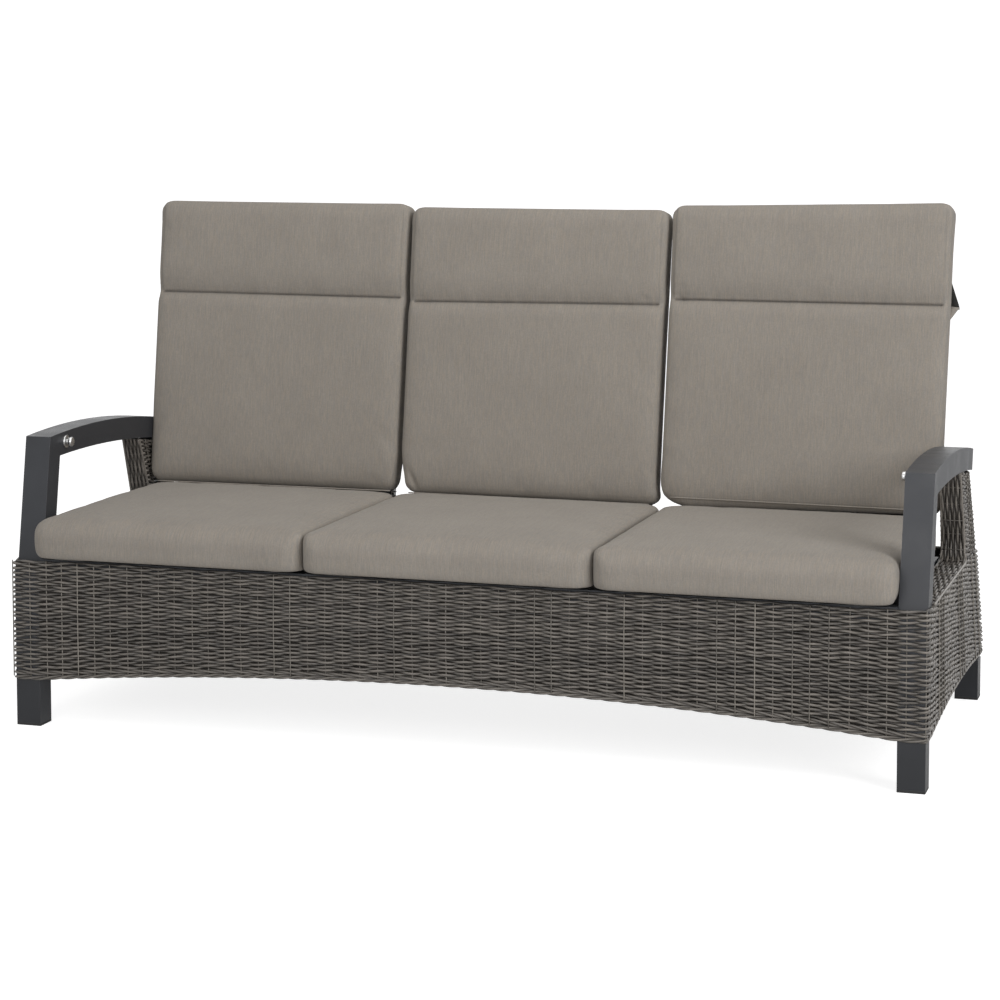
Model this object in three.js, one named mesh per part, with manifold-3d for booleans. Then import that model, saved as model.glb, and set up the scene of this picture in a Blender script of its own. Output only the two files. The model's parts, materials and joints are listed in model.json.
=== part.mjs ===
// Three-seat woven garden sofa with two reclining outer backs.
// Millimetres. +X is the right-hand side seen from the front, the front faces -Y, +Z is up.
// The origin is on the floor, under the middle of the sofa's bounding box.
import * as THREE from "three";
import { mergeVertices } from "three/addons/utils/BufferGeometryUtils.js";
import Module from "manifold-3d";

const wasm = await Module();
wasm.setup();

// Driving dimensions
const spanWidth = 1930; // outside of the legs, left to right
const spanDepth = 883; // outside of the legs, front to back
const sillHeight = 360; // top of the woven base
const archEndHeight = 103; // lower edge of the weave at the legs
const frontArchRise = 46; // how far the front and rear lower edges arch up
const sideArchRise = 17;
const armFrontHeight = 612; // top of the arm above its post
const armRearHeight = 584.5;
const seatCount = 3;
const backLean = THREE.MathUtils.degToRad(9.5); // from upright, at rest
const rearLean = THREE.MathUtils.degToRad(29.3); // of the sofa's rear line, from upright

// Clearances
const seatGap = 0.3; // between pieces that rest on each other
const softGap = 0.5; // round soft pieces
const pinGap = 0.3; // radial, round a pin
const overrun = 20; // how far a cutter runs past what it cuts
const weldReach = 1e-4; // points closer than this are one point

// Legs and glides
const legWidth = 55;
const legDepth = 50;
const rearLegWidth = 51;
const legWall = 2.5;
const frontLegDrop = 20; // of the front legs' top below the sill
const rearLegDrop = 13; // of the rear legs' top below the lower edge of the weave
const glideThickness = 5;
const gluePlugHeight = 18;
const plugGap = 0.4;

// Weave
const weaveThickness = 3;
const rimHeight = 14; // of the bar that the weave is wound round at its lower edge
const rimDepth = 12;
const skinCorner = 5;
const cornerRadius = 12; // of the wings
const innerCorner = 0.8;
const panelCorner = 6;
const archSteps = 16;
const cornerSteps = 5;

// Rails
const railDrop = 4; // of the rails below the sill
const railHeight = 30;
const railDepth = 30;
const railWall = 2;
const thinRailHeight = 22;
const thinRailDepth = 26;
const middleRailShare = 0.266; // of the sofa's depth, to the front of the rail
const hingeRailShare = 0.6388;
const deckThickness = 4;
const slatWidth = 40;
const slotWidth = 60;
const deckMargin = 34;

// Arms
const armWidth = 57;
const armInset = 5; // how far the outer face of the leg leans in, from its foot to the arm
const postDepth = 51; // along Y
const postFootY = 18; // front face of the post at the sill
const postTopY = 66.5; // front face of the post at its top
const armRearReach = 42; // of the arm past the sofa's rear line
const armTopRise = 18;
const armDepth = 45;
const armUnderRise = 12;
const armRearSlant = 8; // how far the lower edge of the rear end lies in front of the upper one
const armWall = 2.5;
const armSteps = 12;

// Wings
const wingInset = 5; // inner face of the wing outside the inner face of the arm
const wingFootInset = 7; // outer face of the wing inside the side skin's foot, at the sill
const wingTopInset = 14; // the same by the arm
const wingTopDepth = 108; // front to back, by the arm
const wingFrontLean = 72; // how much further back the wing's front face is at the sill
const flareRadius = 52;
const flareSteps = 4;
const uprightGap = 4; // between the upright and the inner faces of the wing
const uprightDepth = 36;
const bendRise = 14; // of the turn in the rear line above the lower edge of the weave

// Backs, in the frame of the hinge: y to the rear, z up along the back
const hingeReach = 41; // of the hinge behind its rail
const hingeRise = 35; // of the hinge above the sill
const rodRadius = 6;
const rodHeadRadius = 10;
const rodHeadThickness = 4;
const tubeWidth = 22; // of the back frame, seen from the front
const tubeDepth = 25;
const tubeWall = 2;
const panelSide = 33; // from the panel to the edge of its seat's share
const panelFoot = 26;
const panelDrop = 34; // of the panel's top below the cushion's
const panelWall = 4;
const innerTubeShare = 0.312; // of half the panel's width
const middleTubeZ = 350;
const neckSlotTop = 52; // of the slots that let the plates out of the panel
const lugFoot = -20;
const crossFoot = 36; // of the lowest cross tube above the panel's foot

// Back cushions
const backCushionGap = 1; // from one back cushion to the next
const backCushionFront = -97;
const backCushionFoot = 43;
const backCushionTop = 689;
const backCrown = 6; // of each pad of the cushion
const backCorner = 26; // seen from the front
const backEdge = 16; // rounding of the front and rear edges
const headrestSeam = 480.5;
const seamDepth = 7;
const seamWidth = 9;
const cushionDraw = 4; // how far the sides pull in between the corners
// How far each back cushion has been pushed up on its panel, at the top and at the foot
const cushionLift = { left: 0, middle: -6, right: 9 };
const footLift = { left: 0, middle: 0, right: 3 };

// Headrest hoods
const hoodSide = 19; // from the hood to the edge of its seat's share
const hoodFootRise = 10; // above the headrest seam
const hoodRoom = 3.4; // over the panel's top
const hoodWall = 1.6;
const hoodFlare = 34;
const hoodFlareHeight = 94;

// Seat cushions
const seatOverhang = 38; // in front of the legs
const seatRearGap = 47; // from the cushion's rear end to the hinge
const seatThickness = 86; // at the edges
const seatCrown = 15;
const seatCorner = 40;
const seatFrontEdge = 38;
const seatSideEdge = 24;
const middleSeatSpare = 4; // of the middle cushion over its share, on each side
const seatEar = 12; // how far the outer cushions swell out in front of the posts
const seatEarLength = 40;

// Hinge brackets
const earThickness = 6;
const earRadius = 14;
const plateThickness = 4;
const sideGap = 2; // between an ear and the lug beside it

// Gas springs
const leverLength = 80;
const leverRest = THREE.MathUtils.degToRad(26); // of the lever from straight down, to the rear
const leverThickness = 5;
const leverRadius = 11;
const leverBoss = 15;
const pinRadius = 4;
const openPinGap = 3.5; // radial, where the linkage is open
const springX = 100; // from the middle of the back, towards the arm
const springReach = 24; // of the fixed pivot behind the middle rail
const springDrop = 81; // of the fixed pivot below the rails' top
const eyeRadius = 12;
const eyeWidth = 14;
const cylinderRadius = 10;
const boreRadius = 6;
const springRodRadius = 5;
const headLength = 26;
const headWidth = 18;
// Places along the spring, as shares of its length from pivot to pivot
const mouthShare = 0.34;
const rodTipShare = 0.68;
const boreEndShare = 0.83;
const neckLength = 20; // between the cylinder and the middle of its eye
const roundSides = 12;

// Push buttons
const buttonBack = 71; // behind the front of the arm
const buttonDrop = 18; // below the top of the arm's front corner
const buttonRadius = 6;
const buttonLength = 16.5; // out of the arm
const buttonStem = 14; // into the arm
const collarRadius = 11;
const collarThickness = 4;
const collarBore = 6.6;

// Release cables
const cableRadius = 2.5;
const cableSides = 6;
const cableSteps = 36;

const railTop = sillHeight - railDrop;
const frontLegTop = sillHeight - frontLegDrop;
const rearLegTop = archEndHeight - rearLegDrop;
const uprightBend = archEndHeight + bendRise; // where the rear line turns from vertical to leaning
const legX = spanWidth / 2;
const weaveX = legX + seatGap + weaveThickness;
const weaveFront = -seatGap - weaveThickness;
const weaveRear = spanDepth + seatGap + weaveThickness;
const armOuterX = legX - armInset;
const armInnerX = armOuterX - armWidth;
const postLean = (postTopY - postFootY) / (armFrontHeight - sillHeight);
const rearSlope = Math.tan(rearLean);
const deckBottom = railTop + seatGap;
const deckTop = deckBottom + deckThickness;
const seatBottom = deckTop + softGap;
const seatEdgeHeight = seatBottom + seatThickness;
const seatPitch = (2 * armInnerX) / seatCount; // from one seat's middle to the next
const middleRailFront = spanDepth * middleRailShare;
const hingeRailFront = spanDepth * hingeRailShare;
const hingeRailRear = hingeRailFront + thinRailDepth;
const hingeY = hingeRailRear + hingeReach;
const hingeZ = sillHeight + hingeRise;
const seatFront = -seatOverhang;
const seatRear = hingeY - seatRearGap;
const centreY = (seatFront + weaveRear) / 2;
const wingInnerX = armInnerX + wingInset;
const uprightInnerX = wingInnerX + weaveThickness + uprightGap;
const uprightWidth = weaveX - wingTopInset - weaveThickness - uprightGap - uprightInnerX;
const panelHalfWidth = seatPitch / 2 - panelSide;
const panelTop = backCushionTop - panelDrop;
const innerTubeX = panelHalfWidth * innerTubeShare;
const hoodHalfWidth = seatPitch / 2 - hoodSide;
const hoodFoot = headrestSeam + hoodFootRise;
const hoodTop = panelTop + hoodRoom + hoodWall;
const springY = middleRailFront + thinRailDepth + springReach;
const springZ = railTop - springDrop;
const buttonY = postTopY + buttonBack;
const buttonZ = armFrontHeight - buttonDrop;

// Rear line of the sofa: the outer face of the weave, at a height
const rearLine = (z, inset = 0) =>
  weaveRear - Math.max(0, z - uprightBend) * rearSlope - inset;
const armRearY = rearLine(armRearHeight) + armRearReach;
const wingFrontTopY = rearLine(armRearHeight) - wingTopDepth;
const wingFrontFootY = wingFrontTopY + wingFrontLean;

const v2 = (x, y) => new THREE.Vector2(x, y);
const v3 = (x, y, z) => new THREE.Vector3(x, y, z);

// Solids and geometries
const solid = (piece) => {
  if (!piece.isBufferGeometry) return piece;
  const bare = piece.clone();
  bare.deleteAttribute("normal");
  bare.deleteAttribute("uv");
  const merged = mergeVertices(bare, weldReach);
  return new wasm.Manifold(
    new wasm.Mesh({
      numProp: 3,
      vertProperties: new Float32Array(merged.attributes.position.array),
      triVerts: new Uint32Array(merged.index.array),
    }),
  );
};

const geometryOf = (piece) => {
  if (piece.isBufferGeometry) return piece;
  const mesh = piece.getMesh();
  const geometry = new THREE.BufferGeometry();
  geometry.setAttribute("position", new THREE.BufferAttribute(mesh.vertProperties, 3));
  geometry.setIndex(new THREE.BufferAttribute(mesh.triVerts, 1));
  const flat = geometry.toNonIndexed();
  flat.computeVertexNormals();
  return flat;
};

const cut = (piece, ...tools) =>
  tools.reduce((left, tool) => left.subtract(solid(tool)), solid(piece));

const join = (...pieces) => pieces.map(solid).reduce((all, one) => all.add(one));

const box = (x0, x1, y0, y1, z0, z1) =>
  new THREE.BoxGeometry(x1 - x0, y1 - y0, z1 - z0).translate(
    (x0 + x1) / 2,
    (y0 + y1) / 2,
    (z0 + z1) / 2,
  );

// A square tube with open ends, running along one axis ("x", "y" or "z")
const boxTube = (axis, wall, x0, x1, y0, y1, z0, z1) => {
  const inset = (name) => (name === axis ? -overrun : wall);
  return cut(
    box(x0, x1, y0, y1, z0, z1),
    box(
      x0 + inset("x"),
      x1 - inset("x"),
      y0 + inset("y"),
      y1 - inset("y"),
      z0 + inset("z"),
      z1 - inset("z"),
    ),
  );
};

// Flat shapes made thick. plateX takes (y, z) points, plateY takes (x, z), plateZ takes (x, y).
const slab = (points, depth) =>
  new THREE.ExtrudeGeometry(new THREE.Shape(points), { depth, bevelEnabled: false });

const plateX = (points, x0, x1) =>
  slab(points, x1 - x0).applyMatrix4(
    new THREE.Matrix4().makeBasis(v3(0, 1, 0), v3(0, 0, 1), v3(1, 0, 0)).setPosition(x0, 0, 0),
  );

const plateY = (points, y0, y1) =>
  slab(points, y1 - y0).applyMatrix4(
    new THREE.Matrix4().makeBasis(v3(1, 0, 0), v3(0, 0, 1), v3(0, -1, 0)).setPosition(0, y1, 0),
  );

const plateZ = (points, z0, z1) => slab(points, z1 - z0).translate(0, 0, z0);

// Points on the arc from a to b whose middle stands rise to the left of the line from a to b
const arc = (a, b, rise, steps) => {
  const half = a.distanceTo(b) / 2;
  const radius = (half * half + rise * rise) / (2 * rise);
  const spread = Math.asin(half / radius);
  const along = b.clone().sub(a).normalize();
  const left = v2(-along.y, along.x);
  const middle = a.clone().add(b).divideScalar(2);
  return Array.from({ length: steps + 1 }, (_, i) => {
    const angle = spread * ((2 * i) / steps - 1);
    return middle
      .clone()
      .addScaledVector(along, radius * Math.sin(angle))
      .addScaledVector(left, radius * (Math.cos(angle) - 1) + rise);
  });
};

// Points round part of a circle
const turn = (centre, radius, from, to, steps) =>
  Array.from({ length: steps + 1 }, (_, i) => {
    const angle = from + ((to - from) * i) / steps;
    return v2(centre.x + radius * Math.cos(angle), centre.y + radius * Math.sin(angle));
  });

// The outline round two circles and the straight lines that join them
const link = (a, radiusA, b, radiusB) => {
  const heading = Math.atan2(b.y - a.y, b.x - a.x);
  const open = Math.acos((radiusA - radiusB) / a.distanceTo(b));
  const half = Math.PI;
  return [
    ...turn(b, radiusB, heading - open, heading + open, roundSides / 2),
    ...turn(a, radiusA, heading + open, heading - open + 2 * half, roundSides / 2),
  ];
};

// Round bars along X and Y
const barX = (x0, x1, y, z, radius) =>
  new THREE.CylinderGeometry(radius, radius, x1 - x0, roundSides)
    .rotateZ(Math.PI / 2)
    .translate((x0 + x1) / 2, y, z);

const barY = (y0, y1, x, z, radius) =>
  new THREE.CylinderGeometry(radius, radius, y1 - y0, roundSides).translate(
    x,
    (y0 + y1) / 2,
    z,
  );

// Finishes
const finish = (color, roughness, metalness) =>
  new THREE.MeshStandardMaterial({ color, roughness, metalness });
const paintedMetal = () => finish(0x3f4246, 0.5, 0.6);
const wovenCane = () => finish(0x6b655e, 0.75, 0);
const fabric = () => finish(0x938c84, 0.95, 0);
const darkFabric = () => finish(0x2a2927, 0.9, 0);
const steel = () => finish(0xc9cbcc, 0.3, 1);
const plastic = () => finish(0x1d1e1f, 0.6, 0);

const sofa = new THREE.Group();
const body = new THREE.Group();
body.position.y = -centreY;
sofa.add(body);

const add = (parent, name, piece, material) => {
  const mesh = new THREE.Mesh(geometryOf(piece), material);
  mesh.name = name;
  parent.add(mesh);
};

const sides = [
  { side: "left", sign: -1 },
  { side: "right", sign: 1 },
];
// A solid is made for the right-hand side and mirrored for the left-hand one
const mirrored = (piece, sign) => {
  const geometry = geometryOf(piece);
  if (sign > 0) return geometry;
  const turned = geometry.index ? geometry.toNonIndexed() : geometry.clone();
  turned.scale(-1, 1, 1);
  const place = turned.attributes.position.array;
  for (let i = 0; i < place.length; i += 9)
    for (let k = 0; k < 3; k++)
      [place[i + 3 + k], place[i + 6 + k]] = [place[i + 6 + k], place[i + 3 + k]];
  turned.computeVertexNormals();
  return turned;
};
const addBoth = (name, geometry, material) =>
  sides.forEach(({ side, sign }) =>
    add(body, name + "_" + side, mirrored(geometry, sign), material()),
  );

// Rear and front faces of the upright at a height above its knee
const uprightRear = (z) => rearLine(z, (2 * weaveThickness) / Math.cos(rearLean));
const uprightFront = (z) => uprightRear(z) - uprightDepth / Math.cos(rearLean);

// Legs and skins lean in towards the middle, from the floor up to the sill
const leaned = (piece) => {
  const geometry = geometryOf(piece).clone();
  const place = geometry.attributes.position;
  for (let i = 0; i < place.count; i++)
    place.setX(i, place.getX(i) * (1 - (armInset * place.getZ(i)) / (legX * sillHeight)));
  return geometry;
};

// Legs, with a plugged glide under each
function legs() {
  const places = [
    { end: "front", inner: legX - legWidth, y0: 0, y1: legDepth, top: frontLegTop },
    {
      end: "rear",
      inner: legX - rearLegWidth,
      y0: spanDepth - legDepth,
      y1: spanDepth,
      top: rearLegTop,
    },
  ];
  for (const { end, inner, y0, y1, top } of places) {
    const foot = glideThickness + seatGap;
    addBoth(
      "leg_" + end,
      leaned(boxTube("z", legWall, inner, legX, y0, y1, foot, top - seatGap)),
      paintedMetal,
    );
    const inset = legWall + plugGap;
    addBoth(
      "glide_" + end,
      leaned(
        join(
          box(inner, legX, y0, y1, 0, glideThickness),
          box(inner + inset, legX - inset, y0 + inset, y1 - inset, 0, foot + gluePlugHeight),
        ),
      ),
      plastic,
    );
  }
}

// Base frame
function baseFrame() {
  const frontX = armInnerX - seatGap;
  const railBottom = railTop - railHeight;
  const frontY = weaveThickness + seatGap;
  const sideInnerX = armOuterX - seatGap - railDepth;
  const bearerTop = railTop - thinRailHeight - seatGap;
  const rearFace = rearLine(railTop - railHeight / 2, 0) - rimDepth;
  const rearTop = bearerTop;
  const rearRailRear = Math.min(rearFace, rearLine(rearTop) - weaveThickness * 2);
  add(
    body,
    "rail_front",
    boxTube("x", railWall, -frontX, frontX, frontY, frontY + railDepth, railBottom, railTop),
    paintedMetal(),
  );
  add(
    body,
    "rail_rear",
    boxTube(
      "x",
      railWall,
      -uprightInnerX + seatGap,
      uprightInnerX - seatGap,
      rearRailRear - railDepth,
      rearRailRear,
      rearTop - railHeight,
      rearTop,
    ),
    paintedMetal(),
  );
  const thin = (name, y0) =>
    add(
      body,
      name,
      boxTube(
        "x",
        railWall,
        -sideInnerX + seatGap,
        sideInnerX - seatGap,
        y0,
        y0 + thinRailDepth,
        railTop - thinRailHeight,
        railTop,
      ),
      paintedMetal(),
    );
  thin("rail_middle", middleRailFront);
  thin("rail_hinge", hingeRailFront);
  const sideStart = postFront(railTop) + postDepth + seatGap;
  addBoth(
    "rail_side",
    boxTube(
      "y",
      railWall,
      sideInnerX,
      sideInnerX + railDepth,
      sideStart,
      uprightFront(railTop) - seatGap,
      railBottom,
      railTop,
    ),
    paintedMetal,
  );
  addBoth(
    "bearer",
    boxTube(
      "y",
      railWall,
      seatPitch / 2 - railDepth / 2,
      seatPitch / 2 + railDepth / 2,
      frontY + railDepth + seatGap,
      rearRailRear - railDepth - seatGap,
      bearerTop - railHeight,
      bearerTop,
    ),
    paintedMetal,
  );
}

// Slatted deck under the seat cushions
function seatDeck() {
  const halfX = armInnerX - seatGap;
  const y0 = weaveThickness + seatGap;
  const y1 = hingeRailRear;
  const pitch = slatWidth + slotWidth;
  const count = Math.floor((2 * halfX - slatWidth) / pitch);
  const start = -(count * pitch - slatWidth) / 2;
  const rows = [
    [y0 + deckMargin, middleRailFront],
    [middleRailFront + thinRailDepth, hingeRailFront],
  ];
  const slots = [];
  for (let i = 0; i < count; i++)
    for (const [low, high] of rows) {
      const x = start + i * pitch;
      slots.push(box(x, x + slotWidth, low, high, sillHeight - overrun, sillHeight + overrun));
    }
  const sheet = box(-halfX, halfX, y0, y1, deckBottom, deckTop);
  add(body, "seat_deck", cut(sheet, ...slots), paintedMetal());
}

// Woven skins of the base: a thin sheet with a bar wound into its arched lower edge
function weaveFrontAndRear() {
  const railX = legX - legWidth - seatGap;
  const low = v2(-railX, archEndHeight);
  const high = v2(railX, archEndHeight);
  const arched = arc(low, high, frontArchRise, archSteps);
  const rim = [
    ...arched,
    ...arc(
      v2(-railX, archEndHeight + rimHeight),
      v2(railX, archEndHeight + rimHeight),
      frontArchRise,
      archSteps,
    ).reverse(),
  ];
  const under = [v2(railX, -overrun), v2(-railX, -overrun), ...arched];

  const centre = v2(weaveX - skinCorner, weaveFront + skinCorner);
  const outer = turn(centre, skinCorner, -Math.PI / 2, 0, cornerSteps);
  const inner = [
    v2(weaveX - weaveThickness, weaveFront + skinCorner),
    v2(weaveX - weaveThickness, weaveFront + weaveThickness),
  ];
  const flip = (points) => points.map((p) => v2(-p.x, p.y)).reverse();
  const plan = [...flip(outer), ...outer, ...inner, ...flip(inner)];
  const frontSheet = cut(
    plateZ(plan, archEndHeight, sillHeight),
    plateY(under, weaveFront - overrun, rimDepth + overrun),
  );
  add(
    body,
    "weave_front",
    leaned(
      join(frontSheet, plateY(rim, weaveFront + weaveThickness / 2, weaveFront + rimDepth)),
    ),
    wovenCane(),
  );

  const rearX = weaveX - weaveThickness - seatGap;
  const inset = weaveThickness / Math.cos(rearLean);
  const bend = weaveThickness * Math.tan(rearLean / 2);
  const section = [
    v2(weaveRear, archEndHeight),
    v2(weaveRear, uprightBend),
    v2(rearLine(sillHeight), sillHeight),
    v2(rearLine(sillHeight, inset), sillHeight),
    v2(weaveRear - weaveThickness, uprightBend - bend),
    v2(weaveRear - weaveThickness, archEndHeight),
  ];
  const rearSheet = cut(
    plateX(section, -rearX, rearX),
    plateY(under, rearLine(sillHeight) - overrun, weaveRear + overrun),
  );
  const rearRim = cut(
    plateY(rim, weaveRear - rimDepth - rimHeight, weaveRear - weaveThickness / 2),
    plateX(
      [
        v2(weaveRear - weaveThickness / 2, uprightBend),
        v2(weaveRear + overrun, uprightBend),
        v2(weaveRear + overrun, sillHeight),
        v2(rearLine(sillHeight) - weaveThickness / 2, sillHeight),
      ],
      -weaveX,
      weaveX,
    ),
  );
  add(body, "weave_rear", leaned(join(rearSheet, rearRim)), wovenCane());
}

function weaveSides() {
  const start = weaveFront + skinCorner + seatGap;
  const low = v2(legDepth + seatGap, archEndHeight);
  const high = v2(spanDepth - legDepth - seatGap, archEndHeight);
  const arched = arc(low, high, sideArchRise, archSteps / 2);
  const outline = [
    v2(start, archEndHeight),
    ...arched,
    v2(weaveRear, archEndHeight),
    v2(weaveRear, uprightBend),
    v2(rearLine(sillHeight), sillHeight),
    v2(start, sillHeight),
  ];
  const rimTop = arc(
    v2(low.x, archEndHeight + rimHeight),
    v2(high.x, archEndHeight + rimHeight),
    sideArchRise,
    archSteps / 2,
  ).reverse();
  const inner = weaveX - weaveThickness;
  const sillStart = postFront(sillHeight) + postDepth + seatGap;
  const sillEnd = uprightFront(sillHeight) - seatGap;
  addBoth(
    "weave_side",
    leaned(
      join(
        plateX(outline, inner, weaveX),
        plateX([...arched, ...rimTop], weaveX - rimDepth, inner + weaveThickness / 2),
        box(
          wingInnerX,
          inner + weaveThickness / 2,
          sillStart,
          sillEnd,
          sillHeight - weaveThickness,
          sillHeight,
        ),
      ),
    ),
    wovenCane,
  );
}

// Front face of the leaning post at a height
function postFront(z) {
  return postFootY + (z - sillHeight) * postLean;
}

// Underside of the arm, from the post to the rear end
const underFront = (inset) => {
  const z = armFrontHeight - armDepth + inset;
  return v2(postFront(z) + postDepth - inset, z);
};
const underRear = (inset) =>
  v2(armRearY - armRearSlant - inset, armRearHeight - armDepth + inset);
const underArc = (inset) => arc(underFront(inset), underRear(inset), armUnderRise, armSteps);

// Arm and post seen from the side; inset gives the hollow inside
function armOutline(inset, foot) {
  const topFront = v2(postFront(armFrontHeight - inset) + inset, armFrontHeight - inset);
  const topRear = v2(armRearY - inset, armRearHeight - inset);
  return [
    v2(postFront(foot) + inset, foot),
    v2(postFront(foot) + postDepth - inset, foot),
    ...underArc(inset),
    ...arc(topFront, topRear, armTopRise, armSteps).reverse(),
  ];
}

function arms() {
  const foot = frontLegTop;
  const bore = barX(armInnerX - overrun, armInnerX + overrun, buttonY, buttonZ, collarBore);
  addBoth(
    "arm",
    cut(
      plateX(armOutline(0, foot), armInnerX, armOuterX),
      plateX(armOutline(armWall, foot - overrun), armInnerX + armWall, armOuterX - armWall),
      bore,
    ),
    paintedMetal,
  );
}

// Push buttons on the inner faces of the arms, with a steel collar each
function buttons() {
  const face = armInnerX - seatGap;
  addBoth(
    "button_collar",
    cut(
      barX(face - collarThickness, face, buttonY, buttonZ, collarRadius),
      barX(face - overrun, face + overrun, buttonY, buttonZ, collarBore),
    ),
    steel,
  );
  addBoth(
    "recline_button",
    barX(armInnerX - buttonLength, armInnerX + buttonStem, buttonY, buttonZ, buttonRadius),
    steel,
  );
}

// A ring with rounded corners, at heights given by a function of y
function roundedRing(x0, x1, y0, y1, radius, heightAt) {
  const quarter = Math.PI / 2;
  const corners = [
    [v2(x1 - radius, y0 + radius), -quarter],
    [v2(x1 - radius, y1 - radius), 0],
    [v2(x0 + radius, y1 - radius), quarter],
    [v2(x0 + radius, y0 + radius), 2 * quarter],
  ];
  return corners.flatMap(([centre, from]) =>
    turn(centre, radius, from, from + quarter, cornerSteps).map((p) =>
      v3(p.x, p.y, heightAt(p.y)),
    ),
  );
}

// A closed solid through rings of equal length, from the lowest to the highest
function loft(rings) {
  const count = rings[0].length;
  const points = rings.flat();
  const faces = [];
  for (let r = 0; r + 1 < rings.length; r++)
    for (let i = 0; i < count; i++) {
      const a = r * count + i;
      const b = r * count + ((i + 1) % count);
      faces.push(a, b, b + count, a, b + count, a + count);
    }
  const last = (rings.length - 1) * count;
  for (let i = 1; i + 1 < count; i++) {
    faces.push(0, i + 1, i);
    faces.push(last, last + i, last + i + 1);
  }
  const geometry = new THREE.BufferGeometry().setFromPoints(points);
  geometry.setIndex(faces);
  return geometry.toNonIndexed();
}

// Woven wings: hollow boxes behind the arm windows, closed round the uprights
const armUnderAt = (y) => {
  const points = underArc(0);
  const next = Math.max(
    1,
    points.findIndex((p) => p.x >= y),
  );
  const a = points[next - 1];
  const b = points[next];
  return a.y + ((b.y - a.y) * (y - a.x)) / (b.x - a.x);
};

// Height where a line, given as y at a height, reaches the underside of the arm
const meetArm = (lineAt) =>
  Array.from({ length: armSteps }).reduce((z) => armUnderAt(lineAt(z)), armRearHeight);

function wingRings(inset, low, high) {
  const rings = [];
  const foot = sillHeight + seatGap;
  const top = armUnderAt(wingFrontTopY) - seatGap;
  const outerAt = (z) =>
    weaveX - wingFootInset - ((wingTopInset - wingFootInset) * (z - foot)) / (top - foot);
  const frontAt = (z) =>
    wingFrontFootY + ((wingFrontTopY - wingFrontFootY) * (z - foot)) / (top - foot);
  const radius = cornerRadius - inset;
  for (let i = 0; i <= flareSteps; i++) {
    const angle = ((Math.PI / 2) * i) / flareSteps;
    const z = foot + flareRadius * (1 - Math.cos(angle));
    const front = frontAt(z) - flareRadius * (1 - Math.sin(angle));
    rings.push({ z: i === 0 ? z - low : z, front, outer: outerAt(z), rear: rearLine(z) });
  }
  const plain = rings.map(({ z, front, outer, rear }) =>
    roundedRing(wingInnerX + inset, outer - inset, front + inset, rear - inset, radius, () => z),
  );
  const rearTop = rearLine(meetArm(rearLine));
  plain.push(
    roundedRing(
      wingInnerX + inset,
      outerAt(top) - inset,
      wingFrontTopY + inset,
      rearTop - inset,
      radius,
      (y) => armUnderAt(y) - seatGap + high,
    ),
  );
  return plain;
}

function wings() {
  addBoth(
    "weave_wing",
    cut(loft(wingRings(0, 0, 0)), loft(wingRings(weaveThickness, overrun, overrun))),
    wovenCane,
  );
  const footRear = uprightRear(0);
  const footFront = uprightFront(0);
  const rearTop = meetArm(uprightRear);
  const frontTop = meetArm(uprightFront);
  const outline = (wall, past) => [
    v2(footRear - wall, rearLegTop - past),
    v2(footRear - wall, uprightBend),
    v2(uprightRear(rearTop) - wall - past * rearSlope, rearTop - seatGap + past),
    v2(uprightFront(frontTop) + wall - past * rearSlope, frontTop - seatGap + past),
    v2(footFront + wall, uprightBend),
    v2(footFront + wall, rearLegTop - past),
  ];
  addBoth(
    "upright",
    cut(
      plateX(outline(0, 0), uprightInnerX, uprightInnerX + uprightWidth),
      plateX(
        outline(railWall, overrun),
        uprightInnerX + railWall,
        uprightInnerX + uprightWidth - railWall,
      ),
    ),
    paintedMetal,
  );
}

// Soft pieces
// A block whose grid lines stand at the given places. Its outline across the thin axis has
// corners of the given radius, and edgeAt gives the rounding of its edges in a direction.
function softBlock(grid, thin, corner, edgeAt, form) {
  const steps = ["x", "y", "z"].map((axis) => grid[axis].length - 1);
  const geometry = new THREE.BoxGeometry(1, 1, 1, ...steps);
  const place = geometry.attributes.position;
  const pick = (list, share) => list[Math.round((share + 1 / 2) * (list.length - 1))];
  const middle = (axis) => (grid[axis][0] + grid[axis][grid[axis].length - 1]) / 2;
  const half = (axis) => (grid[axis][grid[axis].length - 1] - grid[axis][0]) / 2;
  const up = thin === "z" ? "y" : "z";
  const away = (value, reach) => value - Math.min(reach, Math.max(-reach, value));
  for (let i = 0; i < place.count; i++) {
    const p = v3(
      pick(grid.x, place.getX(i)),
      pick(grid.y, place.getY(i)),
      pick(grid.z, place.getZ(i)),
    );
    const out = v2(
      away(p.x - middle("x"), half("x") - corner),
      away(p[up] - middle(up), half(up) - corner),
    );
    const reach = Math.max(Math.abs(out.x), Math.abs(out.y));
    const core = v2(p.x - out.x, p[up] - out.y);
    const heading = out.clone().normalize();
    const edge = edgeAt(heading);
    const height = p[thin] - middle(thin);
    const side = v2(reach - corner + edge, Math.abs(height) - half(thin) + edge);
    if (side.x > 0 && side.y > 0) {
      side.normalize().multiplyScalar(edge);
      p[thin] = middle(thin) + Math.sign(height) * (half(thin) - edge + side.y);
      heading.multiplyScalar(corner - edge + side.x);
    } else heading.multiplyScalar(reach);
    p.x = core.x + heading.x;
    p[up] = core.y + heading.y;
    form(p);
    place.setXYZ(i, p.x, p.y, p.z);
  }
  return geometry.toNonIndexed();
}

const cornerShares = [0, 0.3, 0.62, 1];
const edgeShares = [0, 0.58, 1];

// Grid lines from low to high, at shares of a radius by the ends and evenly spaced between them
const gridLines = (low, high, radius, shares, steps) => {
  const span = high - low - 2 * radius;
  const between = Array.from({ length: steps - 1 }, (_, i) => low + radius + (span * (i + 1)) / steps);
  const ends = shares.map((share) => share * radius);
  return [...ends.map((e) => low + e), ...between, ...ends.map((e) => high - e).reverse()];
};

// 1 in the middle of a span, 0 at its ends
const swell = (value, low, high) => {
  const share = (2 * value - low - high) / (high - low);
  return Math.max(0, 1 - share * share);
};

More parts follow.
